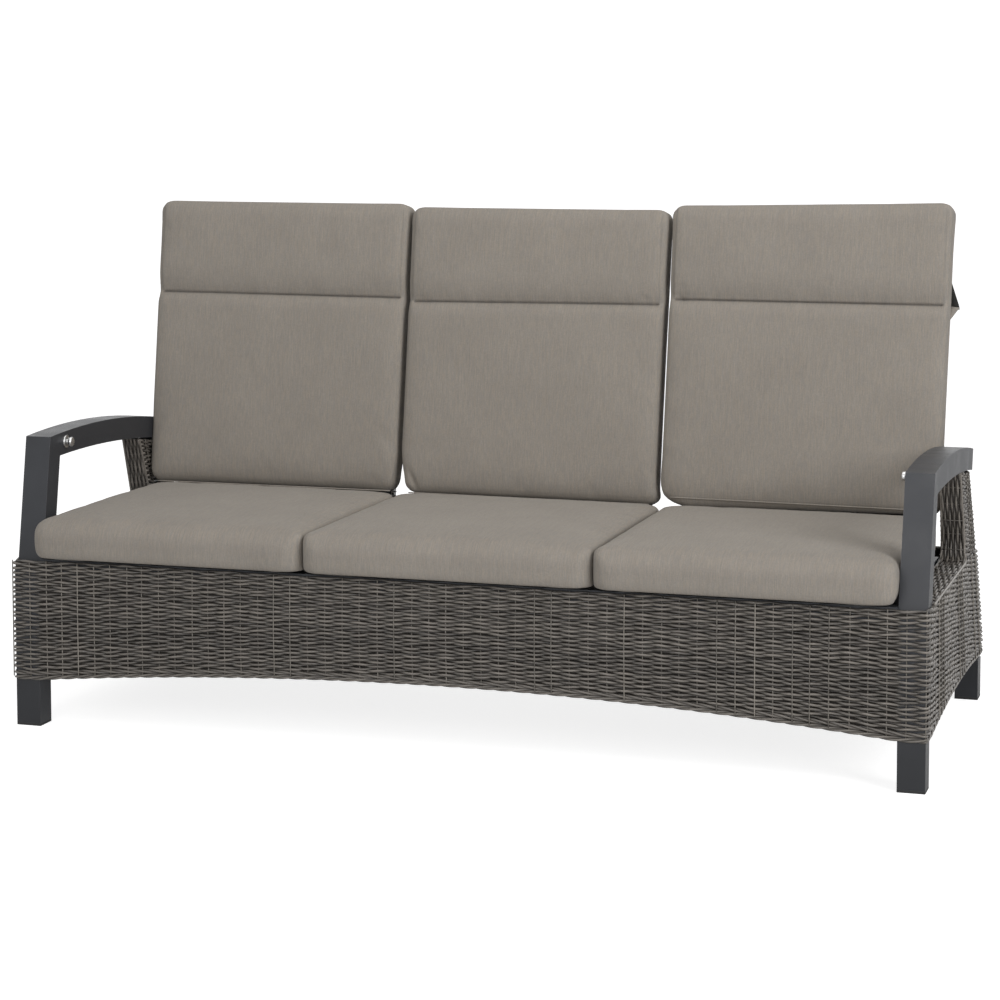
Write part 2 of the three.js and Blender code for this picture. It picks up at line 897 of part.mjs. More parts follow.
// From 0 to 1 as a value goes from low to high, with soft ends
const ease = (value, low, high) => THREE.MathUtils.smoothstep(value, low, high);

function seatCushions() {
  const edge = seatPitch / 2 + middleSeatSpare;
  const places = {
    left: [-armInnerX + sideGap, -edge - softGap],
    middle: [-edge + softGap, edge - softGap],
    right: [edge + softGap, armInnerX - sideGap],
  };
  const edgeAt = (heading) =>
    seatSideEdge + (seatFrontEdge - seatSideEdge) * heading.y * heading.y;
  for (const [seat, [x0, x1]] of Object.entries(places)) {
    const middleX = (x0 + x1) / 2;
    const middleZ = (seatBottom + seatEdgeHeight) / 2;
    const grid = {
      x: gridLines(x0, x1, seatCorner, cornerShares, 8),
      y: gridLines(seatFront, seatRear, seatCorner, cornerShares, 6),
      z: gridLines(seatBottom, seatEdgeHeight, seatSideEdge, edgeShares, 2),
    };
    const geometry = softBlock(grid, "z", seatCorner, edgeAt, (p) => {
      const inX = swell(p.x, x0, x1);
      const inY = swell(p.y, seatFront, seatRear);
      const inZ = swell(p.z, seatBottom, seatEdgeHeight);
      const towards = Math.sign(p.x - middleX);
      const outer = (seat === "left" && towards < 0) || (seat === "right" && towards > 0);
      const nearSide = ease(Math.abs(p.x - middleX), (x1 - x0) / 2 - seatCorner, (x1 - x0) / 2);
      const ear = outer ? seatEar * (1 - ease(p.y, seatFront, seatFront + seatEarLength)) : 0;
      if (p.z > middleZ) p.z += seatCrown * Math.sqrt(inX) * inY;
      p.x -= towards * nearSide * (cushionDraw * (1 - inZ) * inY - ear * Math.sqrt(inZ));
    });
    add(body, "seat_cushion_" + seat, geometry, fabric());
  }
}

// Backs
const backs = [
  { name: "left", x: -seatPitch, sign: -1 },
  { name: "middle", x: 0, sign: 0 },
  { name: "right", x: seatPitch, sign: 1 },
];

// The tubes of a back frame; inset gives the hollow inside them
function backTubes(inset) {
  const half = panelHalfWidth - panelWall - seatGap - inset;
  const bar = tubeWidth - 2 * inset;
  const top = panelTop - panelWall - seatGap - inset;
  const low = panelFoot + crossFoot + inset;
  const foot = lugFoot - (inset > 0 ? overrun : 0);
  const face = tubeDepth / 2 - inset;
  const columns = [
    [-half + bar, -innerTubeX - bar / 2],
    [-innerTubeX + bar / 2, innerTubeX - bar / 2],
    [innerTubeX + bar / 2, half - bar],
  ];
  const rows = [
    [low + bar, middleTubeZ - bar / 2],
    [middleTubeZ + bar / 2, top - bar],
  ];
  const holes = columns.flatMap(([x0, x1]) =>
    rows.map(([z0, z1]) => box(x0, x1, -tubeDepth, tubeDepth, z0, z1)),
  );
  return cut(
    box(-half, half, -face, face, foot, top),
    box(-half + bar, half - bar, -tubeDepth, tubeDepth, foot - overrun, low),
    ...holes,
  );
}

const leverPin = () => {
  const angle = leverRest + backLean;
  return v2(leverLength * Math.sin(angle), -leverLength * Math.cos(angle));
};

// Where the plates that carry a back stand along its width: the low side of each
const plateSides = (sign) => {
  if (sign === 0) return [-innerTubeX, innerTubeX];
  const reach = eyeWidth / 2 + sideGap;
  return [sign * springX - reach - leverThickness, sign * springX + reach];
};

function backFrame(sign) {
  const frame = cut(backTubes(0), backTubes(tubeWall));
  const bore = barX(-panelHalfWidth, panelHalfWidth, 0, 0, rodRadius + pinGap);
  const crossZ = panelFoot + crossFoot + tubeWidth / 2;
  const neck = link(v2(0, crossZ), tubeDepth / 2 - tubeWall / 2, v2(0, 0), leverBoss);
  if (sign === 0) {
    const toe = v2(-(hingeY - hingeRailRear - plateThickness) * Math.cos(backLean), 0);
    const stop = link(v2(0, 0), leverBoss, v2(toe.x + leverBoss, -leverBoss), leverRadius);
    const plates = plateSides(sign).flatMap((x) => [
      plateX(neck, x, x + leverThickness),
      plateX(stop, x, x + leverThickness),
    ]);
    return cut(join(frame, ...plates), bore);
  }
  const middleX = sign * springX;
  const inner = eyeWidth / 2 + sideGap;
  const arm = link(v2(0, 0), leverBoss, leverPin(), leverRadius);
  const plates = plateSides(sign).flatMap((x) => [
    plateX(neck, x, x + leverThickness),
    plateX(arm, x, x + leverThickness),
  ]);
  const pin = barX(
    middleX - inner - leverThickness / 2,
    middleX + inner + leverThickness / 2,
    leverPin().x,
    leverPin().y,
    pinRadius,
  );
  return join(cut(join(frame, ...plates), bore), pin);
}

function backPanel(sign) {
  const halfDepth = tubeDepth / 2 + seatGap + panelWall;
  const ring = (inset, z) =>
    roundedRing(
      -panelHalfWidth + inset,
      panelHalfWidth - inset,
      -halfDepth + inset,
      halfDepth - inset,
      inset > 0 ? innerCorner : panelCorner,
      () => z,
    );
  const slots = plateSides(sign).map((x) =>
    box(
      x - seatGap,
      x + leverThickness + seatGap,
      -halfDepth - overrun,
      halfDepth + overrun,
      panelFoot - overrun,
      neckSlotTop,
    ),
  );
  return cut(
    loft([ring(0, panelFoot), ring(0, panelTop)]),
    loft([ring(panelWall, panelFoot - overrun), ring(panelWall, panelTop - panelWall)]),
    ...slots,
  );
}

function backCushion(name) {
  const half = (seatPitch - backCushionGap) / 2;
  const rear = -(tubeDepth / 2 + seatGap + panelWall + softGap);
  const front = backCushionFront + backCrown;
  const low = backCushionFoot + footLift[name];
  const high = backCushionTop + cushionLift[name];
  const seam = headrestSeam + cushionLift[name];
  const under = gridLines(low, seam - 2 * seamWidth, backCorner, cornerShares, 4);
  const over = gridLines(seam + 2 * seamWidth, high, backCorner, cornerShares, 2);
  const grid = {
    x: gridLines(-half, half, backCorner, cornerShares, 6),
    y: gridLines(front, rear, backEdge, edgeShares, 2),
    z: [
      ...under.slice(0, 1 - cornerShares.length),
      seam - 2 * seamWidth,
      seam - seamWidth,
      seam,
      seam + seamWidth,
      ...[seam + 2 * seamWidth, ...over.slice(cornerShares.length)],
    ],
  };
  const edgeAt = () => backEdge;
  return softBlock(grid, "y", backCorner, edgeAt, (p) => {
    const inX = swell(p.x, -half, half);
    const inPad = p.z < seam ? swell(p.z, low, seam) : swell(p.z, seam, high);
    const inY = swell(p.y, front, rear);
    const nearSide = ease(Math.abs(p.x), half - backCorner, half);
    const notch = Math.max(0, 1 - Math.abs(p.z - seam) / (2 * seamWidth));
    const proud = backCrown * Math.sqrt(inX * inPad);
    if (p.y < (front + rear) / 2) p.y += seamDepth * notch * notch * Math.sqrt(inX) - proud;
    p.x -= Math.sign(p.x) * nearSide * cushionDraw * ((1 - inY) * inPad + notch / 2);
  });
}

// The pocket behind the headrest, which slips over the top of the back panel
function headrestHood(sign) {
  const front = -(tubeDepth / 2 + seatGap + panelWall);
  const rear = -front + softGap + hoodWall;
  const outline = (inset) => {
    const flareAt = (side) => (side === sign ? hoodFlare : 0) - inset;
    const foot = inset > 0 ? hoodFoot - overrun : hoodFoot;
    const half = hoodHalfWidth - inset;
    return [
      v2(-hoodHalfWidth - flareAt(-1), foot),
      v2(hoodHalfWidth + flareAt(1), foot),
      v2(hoodHalfWidth + flareAt(1), hoodFoot),
      v2(half, hoodFoot + hoodFlareHeight),
      v2(half, hoodTop - inset),
      v2(-half, hoodTop - inset),
      v2(-half, hoodFoot + hoodFlareHeight),
      v2(-hoodHalfWidth - flareAt(-1), hoodFoot),
    ].filter((p, i, all) => i === 0 || !p.equals(all[i - 1]));
  };
  return cut(
    plateY(outline(0), front, rear),
    plateY(outline(hoodWall), front - overrun, rear - hoodWall),
  );
}

function hingeBracket() {
  const earX = panelHalfWidth - panelWall - seatGap - tubeWidth - sideGap;
  const face = hingeRailRear + seatGap;
  const low = railTop - thinRailHeight + seatGap;
  const plate = box(-earX, earX, face, face + plateThickness, low, railTop - seatGap);
  const root = v2(face + leverRadius, (low + railTop) / 2);
  const ear = link(root, leverRadius - seatGap, v2(hingeY, hingeZ), earRadius);
  return cut(
    join(
      plate,
      plateX(ear, -earX, -earX + earThickness),
      plateX(ear, earX - earThickness, earX),
    ),
    barX(-panelHalfWidth, panelHalfWidth, hingeY, hingeZ, rodRadius + pinGap),
  );
}

function hingeRod() {
  const end = panelHalfWidth;
  return join(
    barX(-end, end, 0, 0, rodRadius),
    barX(-end - rodHeadThickness, -end, 0, 0, rodHeadRadius),
    barX(end, end + rodHeadThickness, 0, 0, rodHeadRadius),
  );
}

// Gas springs. The rod's head turns on the spring bracket; the cylinder slides along the rod.
function gasSpring(back) {
  const angle = leverRest;
  const pinY = hingeY + leverLength * Math.sin(angle);
  const pinZ = hingeZ - leverLength * Math.cos(angle);
  const reach = Math.hypot(pinY - springY, pinZ - springZ);
  const tilt = Math.atan2(pinZ - springZ, pinY - springY);
  const x = back.x + back.sign * springX;
  const group = new THREE.Group();
  group.position.set(x, springY, springZ);
  group.rotation.x = tilt;
  body.add(group);

  const half = eyeWidth / 2;
  const rodEye = cut(
    join(
      barX(-half, half, 0, 0, eyeRadius),
      box(
        -headWidth / 2,
        headWidth / 2,
        eyeRadius / 2,
        eyeRadius + headLength,
        -headWidth / 2,
        headWidth / 2,
      ),
    ),
    barX(-eyeWidth, eyeWidth, 0, 0, pinRadius + pinGap),
  );
  add(
    group,
    "spring_rod_" + back.name,
    join(rodEye, barY(eyeRadius + headLength / 2, reach * rodTipShare, 0, 0, springRodRadius)),
    steel(),
  );
  const tube = cut(
    join(
      barY(reach * mouthShare, reach - neckLength, 0, 0, cylinderRadius),
      barY(reach - 2 * neckLength, reach - eyeRadius / 2, 0, 0, half),
    ),
    barY(reach * mouthShare - overrun, reach * boreEndShare, 0, 0, boreRadius),
  );
  add(
    group,
    "spring_cylinder_" + back.name,
    cut(
      join(tube, barX(-half, half, reach, 0, eyeRadius)),
      barX(-eyeWidth, eyeWidth, reach, 0, pinRadius + openPinGap),
    ),
    plastic(),
  );

  const inner = headWidth / 2 + sideGap / 2;
  const face = middleRailFront + thinRailDepth + seatGap;
  const root = v2(face + leverRadius, railTop - leverRadius - seatGap);
  const ear = link(root, leverRadius, v2(springY, springZ), leverRadius);
  const low = railTop - thinRailHeight;
  add(
    body,
    "spring_bracket_" + back.name,
    join(
      box(
        x - inner - leverThickness,
        x + inner + leverThickness,
        face,
        face + plateThickness,
        low,
        railTop - seatGap,
      ),
      plateX(ear, x - inner - leverThickness, x - inner),
      plateX(ear, x + inner, x + inner + leverThickness),
      barX(
        x - inner - leverThickness / 2,
        x + inner + leverThickness / 2,
        springY,
        springZ,
        pinRadius,
      ),
    ),
    paintedMetal(),
  );
}

// Release cables, from behind the button through the arm and post to the release head
const cableBend = 20; // how wide the cable turns
const postShares = [0.88, 0.6, 0.26, 0.04]; // of the way from the sill up to the button
const crossingShares = [0.12, 0.75, 0.93]; // of the way from the post to the release head

function releaseCables() {
  const armX = (armInnerX + armOuterX) / 2;
  const headX = seatPitch + springX;
  const headY = springY - eyeRadius - cableRadius / 2;
  const inPost = postShares.map((share) => {
    const z = sillHeight + (buttonZ - sillHeight) * share;
    const sway = share < 1 / 2 ? ((1 - 2 * share) * postDepth) / 4 : 0;
    return v3(armX - sway, postFront(z) + postDepth / 2 + sway, z);
  });
  const footX = armInnerX + cableBend / 2;
  const foot = v3(footX, legDepth + cableBend / 2, sillHeight - cableBend);
  const low = v3(footX, legDepth + cableBend, railTop - railHeight - cableBend);
  const route = [
    v3(armX - cableBend / 4, buttonY, buttonZ),
    v3(armX, buttonY - cableBend, buttonZ - cableBend / 4),
    ...inPost,
    foot,
    low,
    ...crossingShares.map((share) =>
      v3(
        low.x + (headX - low.x) * share,
        low.y + (headY - low.y) * share * share,
        low.z + (springZ - low.z) * Math.sqrt(share),
      ),
    ),
    v3(headX, headY, springZ),
  ];
  const path = new THREE.CatmullRomCurve3(route);
  const section = new THREE.Shape(
    turn(v2(0, 0), cableRadius, 0, 2 * Math.PI, cableSides).slice(0, -1),
  );
  addBoth(
    "release_cable",
    new THREE.ExtrudeGeometry(section, {
      steps: cableSteps,
      extrudePath: path,
      bevelEnabled: false,
    }),
    plastic,
  );
}

function backsAndSprings() {
  for (const back of backs) {
    const bracket = geometryOf(hingeBracket()).translate(back.x, 0, 0);
    add(body, "hinge_bracket_" + back.name, bracket, paintedMetal());
    const group = new THREE.Group();
    group.position.set(back.x, hingeY, hingeZ);
    group.rotation.x = -backLean;
    body.add(group);
    add(group, "hinge_rod_" + back.name, hingeRod(), steel());
    add(group, "back_frame_" + back.name, backFrame(back.sign), paintedMetal());
    add(group, "back_weave_" + back.name, backPanel(back.sign), wovenCane());
    add(group, "back_cushion_" + back.name, backCushion(back.name), fabric());
    add(group, "headrest_hood_" + back.name, headrestHood(back.sign), darkFabric());
    if (back.sign !== 0) gasSpring(back);
  }
}

legs();
baseFrame();
seatDeck();
weaveFrontAndRear();
weaveSides();
arms();
buttons();
wings();
backsAndSprings();
releaseCables();
seatCushions();

export default sofa;
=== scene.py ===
import json
import math

import bpy
import numpy as np
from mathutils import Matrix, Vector


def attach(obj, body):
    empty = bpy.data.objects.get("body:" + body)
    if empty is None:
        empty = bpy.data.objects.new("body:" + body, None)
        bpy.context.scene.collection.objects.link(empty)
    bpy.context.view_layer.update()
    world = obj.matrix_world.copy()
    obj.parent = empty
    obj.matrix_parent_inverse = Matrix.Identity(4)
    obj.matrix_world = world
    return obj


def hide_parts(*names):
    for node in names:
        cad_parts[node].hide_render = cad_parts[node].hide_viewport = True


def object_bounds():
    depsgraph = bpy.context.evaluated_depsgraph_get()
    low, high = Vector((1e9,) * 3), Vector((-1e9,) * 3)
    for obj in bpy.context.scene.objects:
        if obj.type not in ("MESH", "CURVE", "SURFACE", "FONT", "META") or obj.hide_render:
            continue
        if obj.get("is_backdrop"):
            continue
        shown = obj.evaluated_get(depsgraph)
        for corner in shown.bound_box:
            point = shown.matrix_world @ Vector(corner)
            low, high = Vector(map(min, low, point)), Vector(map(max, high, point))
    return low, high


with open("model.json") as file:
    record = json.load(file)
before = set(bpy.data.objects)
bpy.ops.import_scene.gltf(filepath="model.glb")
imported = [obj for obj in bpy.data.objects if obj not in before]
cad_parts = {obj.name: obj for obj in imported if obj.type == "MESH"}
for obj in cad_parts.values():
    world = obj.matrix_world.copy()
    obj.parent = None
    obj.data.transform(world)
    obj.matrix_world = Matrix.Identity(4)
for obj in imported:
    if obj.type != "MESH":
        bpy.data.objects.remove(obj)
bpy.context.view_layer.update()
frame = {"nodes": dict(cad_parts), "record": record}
scene = bpy.context.scene

MM = 0.001
HALF_DEPTH = 424.15  # from the front of the legs to the middle of the sofa
SIDES = {"right": False, "left": True}  # whether a piece made for the right is mirrored

# The woven base
SIDE_X = 965.9  # middle of the side skin's thickness, at the floor
SIDE_LEAN = 5 / 347400  # share by which the skins draw in for each millimetre of height
SKIN_FRONT = -0.8
SKIN_REAR = 883.3
SKIN_CORNER = 5
SKIN_TOP = 357.4
ARCH_FOOT = 106
FRONT_ARCH = (914, 46)  # half length and rise
SIDE_ARCH = (51, 832, 17)  # from and to, and rise
REAR_BEND = 117  # height where the rear skin starts to lean forward
REAR_SLOPE = math.tan(math.radians(29.3))
FRONT_BULGE = 3.5

# Strands
STRAND = 2.7  # radius
SWING = 3.2  # how far a strand passes outside and inside of the stakes' line
STRAND_SIDES = 5
WANDER = 0.28  # how far a strand drifts up and down, in rows
WANDER_WAVES = (3, 7, 17, 41)  # waves of a strand's drift, over so many stakes:
WANDER_STAKES = 52
STAKE = 1.25  # radius
STAKES_OUTSIDE = 0.3  # share of the stakes that lie over the strands
BACKING = 1.4  # thickness of the dark sheet behind the strands, whose colour is painted shade
BORDER_STRAND = 2.5  # radius of the strands that finish an edge
BORDER_SIDES = 6

# Arms, windows and wings
POST_REAR = 69.5  # rear face of the arm's front post
WING_INNER = 911
WING_OUTER_FOOT = 958.3
WING_OUTER_TOP = 951.3
WING_TOP = 552
WING_HEIGHT = WING_TOP - SKIN_TOP
WING_FRONT_TOP = 519.8
WING_FRONT_FOOT = 591.8
FLARE = 52  # radius of the window's lower rear corner
ARM_UNDER = (553, 539)  # underside of the arm over the wing's front and rear

# Backs
HINGE = (631.06, 395)
BACK_LEAN = math.radians(9.5)
SEAT_PITCH = 602
PANEL_HALF = 268
PANEL_FACE = 16.8
PANEL_FOOT = 26
PANEL_TOP = 655


def stacked(x, y, z):
    return np.stack(np.broadcast_arrays(x, y, z), axis=-1)


def between(low, high, share):
    return low + (high - low) * share


def set_down(points):
    return (np.asarray(points, dtype=float) + (0, -HALF_DEPTH, 0)) * MM


def leaned(points, middle):
    """Points of a back, x from its middle, y and z from its hinge along the leaning back."""
    x, y, z = np.moveaxis(np.asarray(points, dtype=float), -1, 0)
    c, s = math.cos(BACK_LEAN), math.sin(BACK_LEAN)
    return stacked(x + middle, HINGE[0] + y * c + z * s, HINGE[1] + z * c - y * s)


def rear_line(z):
    return SKIN_REAR - np.maximum(0, z - REAR_BEND) * REAR_SLOPE


def smooth(value, low, high):
    """0 up to low, 1 from high on, with a soft step between."""
    t = np.clip((value - low) / (high - low), 0, 1)
    return t * t * (3 - 2 * t)


def swell(value, low, high):
    """1 midway between low and high, falling to 0 at both."""
    share = (2 * value - low - high) / (high - low)
    return np.clip(1 - share * share, 0, 1)


def span(values):
    return values.min(), values.max()


# Materials
SEAM_SHADOW = (0.03, 0.03, 0.03)
WEAR_AND_HIGHLIGHT_REACH = 0.0022  # how far from an edge the paint turns paler, by wear and partly by painted highlight
FINISHES = {}  # each material by its name


def cleared(owner):
    owner.use_nodes = True
    owner.node_tree.nodes.clear()
    return owner.node_tree


def graph(name):
    FINISHES[name] = bpy.data.materials.new(name)
    return cleared(FINISHES[name])


def give(tree, socket, value):
    """Links another node's output to an input, or sets the input's constant."""
    if isinstance(value, bpy.types.NodeSocket):
        tree.links.new(value, socket)
    else:
        socket.default_value = (*value, 1) if socket.type == "RGBA" else value


def add(tree, kind, **values):
    """A node; each value is one of its properties, or goes to the input of that name."""
    node = tree.nodes.new(kind)
    for key, value in values.items():
        if hasattr(node, key):
            setattr(node, key, value)
        else:
            give(tree, node.inputs[key.replace("_", " ")], value)
    return node


def object_place(tree):
    return add(tree, "ShaderNodeTexCoord").outputs["Object"]


def attribute(tree, name):
    return add(tree, "ShaderNodeAttribute", attribute_name=name).outputs["Fac"]


def ramp(tree, source, *stops):
    """Colours or greys by value; each stop is its place and its colour or grey."""
    node = add(tree, "ShaderNodeValToRGB", Fac=source)
    elements = node.color_ramp.elements
    while len(elements) < len(stops):
        elements.new(1)
    for element, (place, colour) in zip(elements, stops):
        element.position = place
        element.color = (*(colour if isinstance(colour, tuple) else (colour,) * 3), 1)
    return node.outputs["Color"]


def toned(colour, share):
    return tuple(share * part for part in colour)


def noise(tree, coordinates, scale, stretch=(1, 1, 1), detail=2, rough=0.5):
    """Noise with so many features per metre."""
    place = add(tree, "ShaderNodeMapping", Vector=coordinates, Scale=stretch).outputs["Vector"]
    node = add(tree, "ShaderNodeTexNoise", Vector=place, Scale=scale, Detail=detail, Roughness=rough)
    return node.outputs["Fac"]


def mixed(tree, factor, first, second, kind="MIX"):
    node = add(tree, "ShaderNodeMix", data_type="RGBA", blend_type=kind)
    for index, value in ((0, factor), (6, first), (7, second)):
        give(tree, node.inputs[index], value)
    return node.outputs[2]


def multiplied(tree, first, second):
    return mixed(tree, 1.0, first, second, "MULTIPLY")


def maths(tree, operation, *values):
    node = add(tree, "ShaderNodeMath", operation=operation)
    for socket, value in zip(node.inputs, values):
        give(tree, socket, value)
    return node.outputs[0]


def bump(tree, height, distance, strength, **values):
    node = add(tree, "ShaderNodeBump", Height=height, Strength=strength, Distance=distance, **values)
    return node.outputs["Normal"]


def principled(tree, **values):
    shader = add(tree, "ShaderNodeBsdfPrincipled", **values)
    add(tree, "ShaderNodeOutputMaterial", Surface=shader.outputs["BSDF"])


def cloth(name, base, thread, streak_share, roughness):
    """Melange cloth: fine streaks run down the cushion, with a plain weave under them."""
    tree = graph(name)
    at = object_place(tree)
    facing = add(tree, "ShaderNodeTexCoord").outputs["Normal"]
    sideways = maths(tree, "ABSOLUTE", add(tree, "ShaderNodeSeparateXYZ", Vector=facing).outputs["X"])
    on_side = maths(tree, "GREATER_THAN", sideways, 0.7)
    streak = add(tree, "ShaderNodeMix", data_type="FLOAT")
    give(tree, streak.inputs[0], on_side)
    for socket, (x, y) in zip(streak.inputs[2:4], ((1.0, 0.05), (0.05, 1.0))):  # the front's, then the sides'
        wide = noise(tree, at, 420, (x, y, 0.07))
        fine = noise(tree, at, 1200, (x, y * 2, 0.12), rough=0.6)
        give(tree, socket, maths(tree, "MULTIPLY_ADD", wide, 0.55, maths(tree, "MULTIPLY", fine, 0.45)))
    tone = ramp(tree, streak.outputs[0], (0.3, 1 - streak_share), (0.5, 1), (0.7, 1 + streak_share))
    hue = ramp(tree, noise(tree, at, 500, (1, 0.1, 0.1), 1), (0.42, thread), (0.6, base))
    patches = ramp(tree, noise(tree, at, 9, detail=3), (0.3, 0.96), (0.7, 1.03))
    grain = ramp(tree, noise(tree, at, 380), (0.3, 0.94), (0.7, 1.06))
    colour = hue
    for share in (tone, patches, grain):
        colour = multiplied(tree, colour, share)
    # painted shade in the creases of the seams
    shade_in_seams = maths(tree, "MULTIPLY", attribute(tree, "seam_shade"), 0.5)
    colour = mixed(tree, shade_in_seams, colour, SEAM_SHADOW)
    weave = maths(tree, "ADD", *(noise(tree, at, 1500, way, 1) for way in ((1, 0.25, 0.25), (0.25, 1, 1))))
    dents = bump(tree, noise(tree, at, 60), 0.0012, 0.35)
    principled(
        tree,
        Base_Color=colour,
        Roughness=ramp(tree, weave, (0.7, roughness - 0.06), (1.0, roughness + 0.05)),
        Normal=bump(tree, weave, 0.0006, 0.5, Normal=dents),
        Sheen_Weight=0.1,
        Sheen_Roughness=0.5,
        Specular_IOR_Level=0.25,
    )


def cane(name, dark, light, roughness):
    """Plastic strands: each strand has its own tone, with streaks along it, painted shade where it passes
    under and a painted highlight on its crests.
    """
    tree = graph(name)
    at = object_place(tree)
    grain = noise(tree, at, 420, (0.22, 0.22, 1.0), 3, 0.6)
    cloud = noise(tree, at, 34, (1, 1, 1.6))
    blend = maths(tree, "MULTIPLY_ADD", attribute(tree, "tone"), 0.45, maths(tree, "MULTIPLY", grain, 0.45))
    blend = maths(tree, "MULTIPLY_ADD", cloud, 0.6, maths(tree, "SUBTRACT", blend, 0.12))
    # painted shade and highlight: darker where a strand lies inside, lighter on its crests
    shade = ramp(tree, attribute(tree, "out"), (0.0, 0.42), (0.55, 0.66), (1.0, 1.22))
    principled(
        tree,
        Base_Color=multiplied(tree, ramp(tree, blend, (0.25, dark), (0.85, light)), shade),
        Roughness=ramp(tree, grain, (0.3, roughness - 0.08), (0.7, roughness + 0.1)),
        Normal=bump(tree, grain, 0.0006, 0.6),
        Specular_IOR_Level=0.5,
    )


def paint(name, base, wear_and_highlight_colour, roughness, peel=0.25, gloss=0.5):
    """Coating on metal or moulded plastic: fine orange peel, uneven gloss, paler along edges by wear and
    partly by painted highlight, and darker near the floor as painted shade.
    """
    tree = graph(name)
    at = object_place(tree)
    cloud = noise(tree, at, 14, detail=3)
    grain = noise(tree, at, 900)
    colour = ramp(tree, cloud, (0.3, toned(base, 0.9)), (0.7, toned(base, 1.1)))
    # an edge is where the normal of a slightly rounded copy turns away from the face's own
    rounded = add(tree, "ShaderNodeBevel", samples=4, Radius=WEAR_AND_HIGHLIGHT_REACH).outputs["Normal"]
    across = add(tree, "ShaderNodeVectorMath", operation="DOT_PRODUCT")
    give(tree, across.inputs[0], rounded)
    give(tree, across.inputs[1], add(tree, "ShaderNodeNewGeometry").outputs["True Normal"])
    # paler edges, by wear and partly by painted highlight
    wear_and_highlight_edge = maths(tree, "MULTIPLY_ADD", noise(tree, at, 160, detail=3), 0.16, across.outputs["Value"])
    colour = mixed(tree, ramp(tree, wear_and_highlight_edge, (0.9, 0.75), (1.0, 0.0)), colour, wear_and_highlight_colour)
    # painted shade: darker towards the floor, where the base shades the legs
    height = add(tree, "ShaderNodeSeparateXYZ", Vector=at).outputs["Z"]
    painted_floor_shade = ramp(tree, height, (0.08, 0.7), (0.3, 1))
    uneven = maths(tree, "ADD", cloud, grain)
    principled(
        tree,
        Base_Color=multiplied(tree, colour, painted_floor_shade),
        Roughness=ramp(tree, uneven, (0.7, roughness - 0.05), (1.0, roughness + 0.08)),
        Normal=bump(tree, grain, 0.0004, peel),
        Specular_IOR_Level=gloss,
    )


def steel(name, tint, stretch, roughness):
    """Brushed or polished steel; its fine lines run along the axes with a small stretch."""
    tree = graph(name)
    brush = noise(tree, object_place(tree), 900, stretch, 3, 0.6)
    principled(
        tree,
        Base_Color=ramp(tree, brush, (0.3, toned(tint, 0.86)), (0.7, tint)),
        Roughness=ramp(tree, brush, (0.3, roughness - 0.06), (0.7, roughness + 0.08)),
        Normal=bump(tree, brush, 0.0002, 0.3),
        Metallic=1.0,
    )


cloth("cushion_cloth", (0.301, 0.268, 0.23), (0.274, 0.252, 0.226), 0.09, 0.88)
cloth("hood_cloth", (0.028, 0.026, 0.024), (0.02, 0.02, 0.02), 0.2, 0.85)
cane("cane", (0.07, 0.063, 0.057), (0.182, 0.164, 0.145), 0.32)
cane("cane_light", (0.09, 0.081, 0.071), (0.36, 0.33, 0.29), 0.4)
# painted shade: the dark sheet behind the weaves stands in for the shade inside them
paint("cane_lining", (0.046, 0.041, 0.036), (0.055, 0.05, 0.044), 0.8)
paint("frame_paint", (0.03, 0.032, 0.0375), (0.085, 0.087, 0.093), 0.36, 0.3, gloss=0.4)
paint("glide_plastic", (0.022, 0.022, 0.023), (0.05, 0.05, 0.05), 0.6, 0.4)
paint("spring_black", (0.012, 0.012, 0.012), (0.06, 0.06, 0.06), 0.35, 0.15)
paint("cable_black", (0.014, 0.014, 0.014), (0.03, 0.03, 0.03), 0.7, 0.3)
steel("button_steel", (0.66, 0.66, 0.66), (0.05, 1, 1), 0.26)
steel("rod_steel", (0.6, 0.6, 0.61), (1, 0.05, 0.05), 0.18)

BEVELS = {"arm_": 1.6, "leg_": 1.6, "glide_": 0.8}  # width by the start of the node's name
BEVEL_FROM = math.radians(40)
SHARP_FROM = math.radians(30)


def rounded_shading():
    """A modifier's nodes: curved faces shade smoothly, and edges sharper than SHARP_FROM stay sharp."""
    group = bpy.data.node_groups.new("rounded_shading", "GeometryNodeTree")
    for way in ("INPUT", "OUTPUT"):
        group.interface.new_socket("Geometry", in_out=way, socket_type="NodeSocketGeometry")
    start, end = group.nodes.new("NodeGroupInput"), group.nodes.new("NodeGroupOutput")
    faces, edges = (group.nodes.new("GeometryNodeSetShadeSmooth") for _ in range(2))
    faces.domain, edges.domain = "FACE", "EDGE"
    edges.inputs["Shade Smooth"].default_value = False
    sharp = group.nodes.new("FunctionNodeCompare")
    sharp.inputs[1].default_value = SHARP_FROM
    angle = group.nodes.new("GeometryNodeInputMeshEdgeAngle")
    for source, target in (
        (start.outputs[0], faces.inputs["Geometry"]),
        (faces.outputs[0], edges.inputs["Geometry"]),
        (angle.outputs[0], sharp.inputs[0]),
        (sharp.outputs[0], edges.inputs["Selection"]),
        (edges.outputs[0], end.inputs[0]),
    ):
        group.links.new(source, target)
    return group


ROUNDED_SHADING = rounded_shading()

for part in frame["record"]["subparts"]:
    cad = frame["nodes"][part["node"]]
    cad.data.materials.clear()
    cad.data.materials.append(FINISHES[part["material_slot"]])
    for start, width in BEVELS.items():
        if part["node"].startswith(start):
            edge = cad.modifiers.new("edges", "BEVEL")
            edge.width = width * MM
            edge.segments = 3
            edge.limit_method = "ANGLE"
            edge.angle_limit = BEVEL_FROM
    cad.modifiers.new("shading", "NODES").node_group = ROUNDED_SHADING
    cad.modifiers.new("flats", "WEIGHTED_NORMAL").keep_sharp = True


# Meshes


def in_scene(name, data):
    piece = bpy.data.objects.new(name, data)
    scene.collection.objects.link(piece)
    return piece


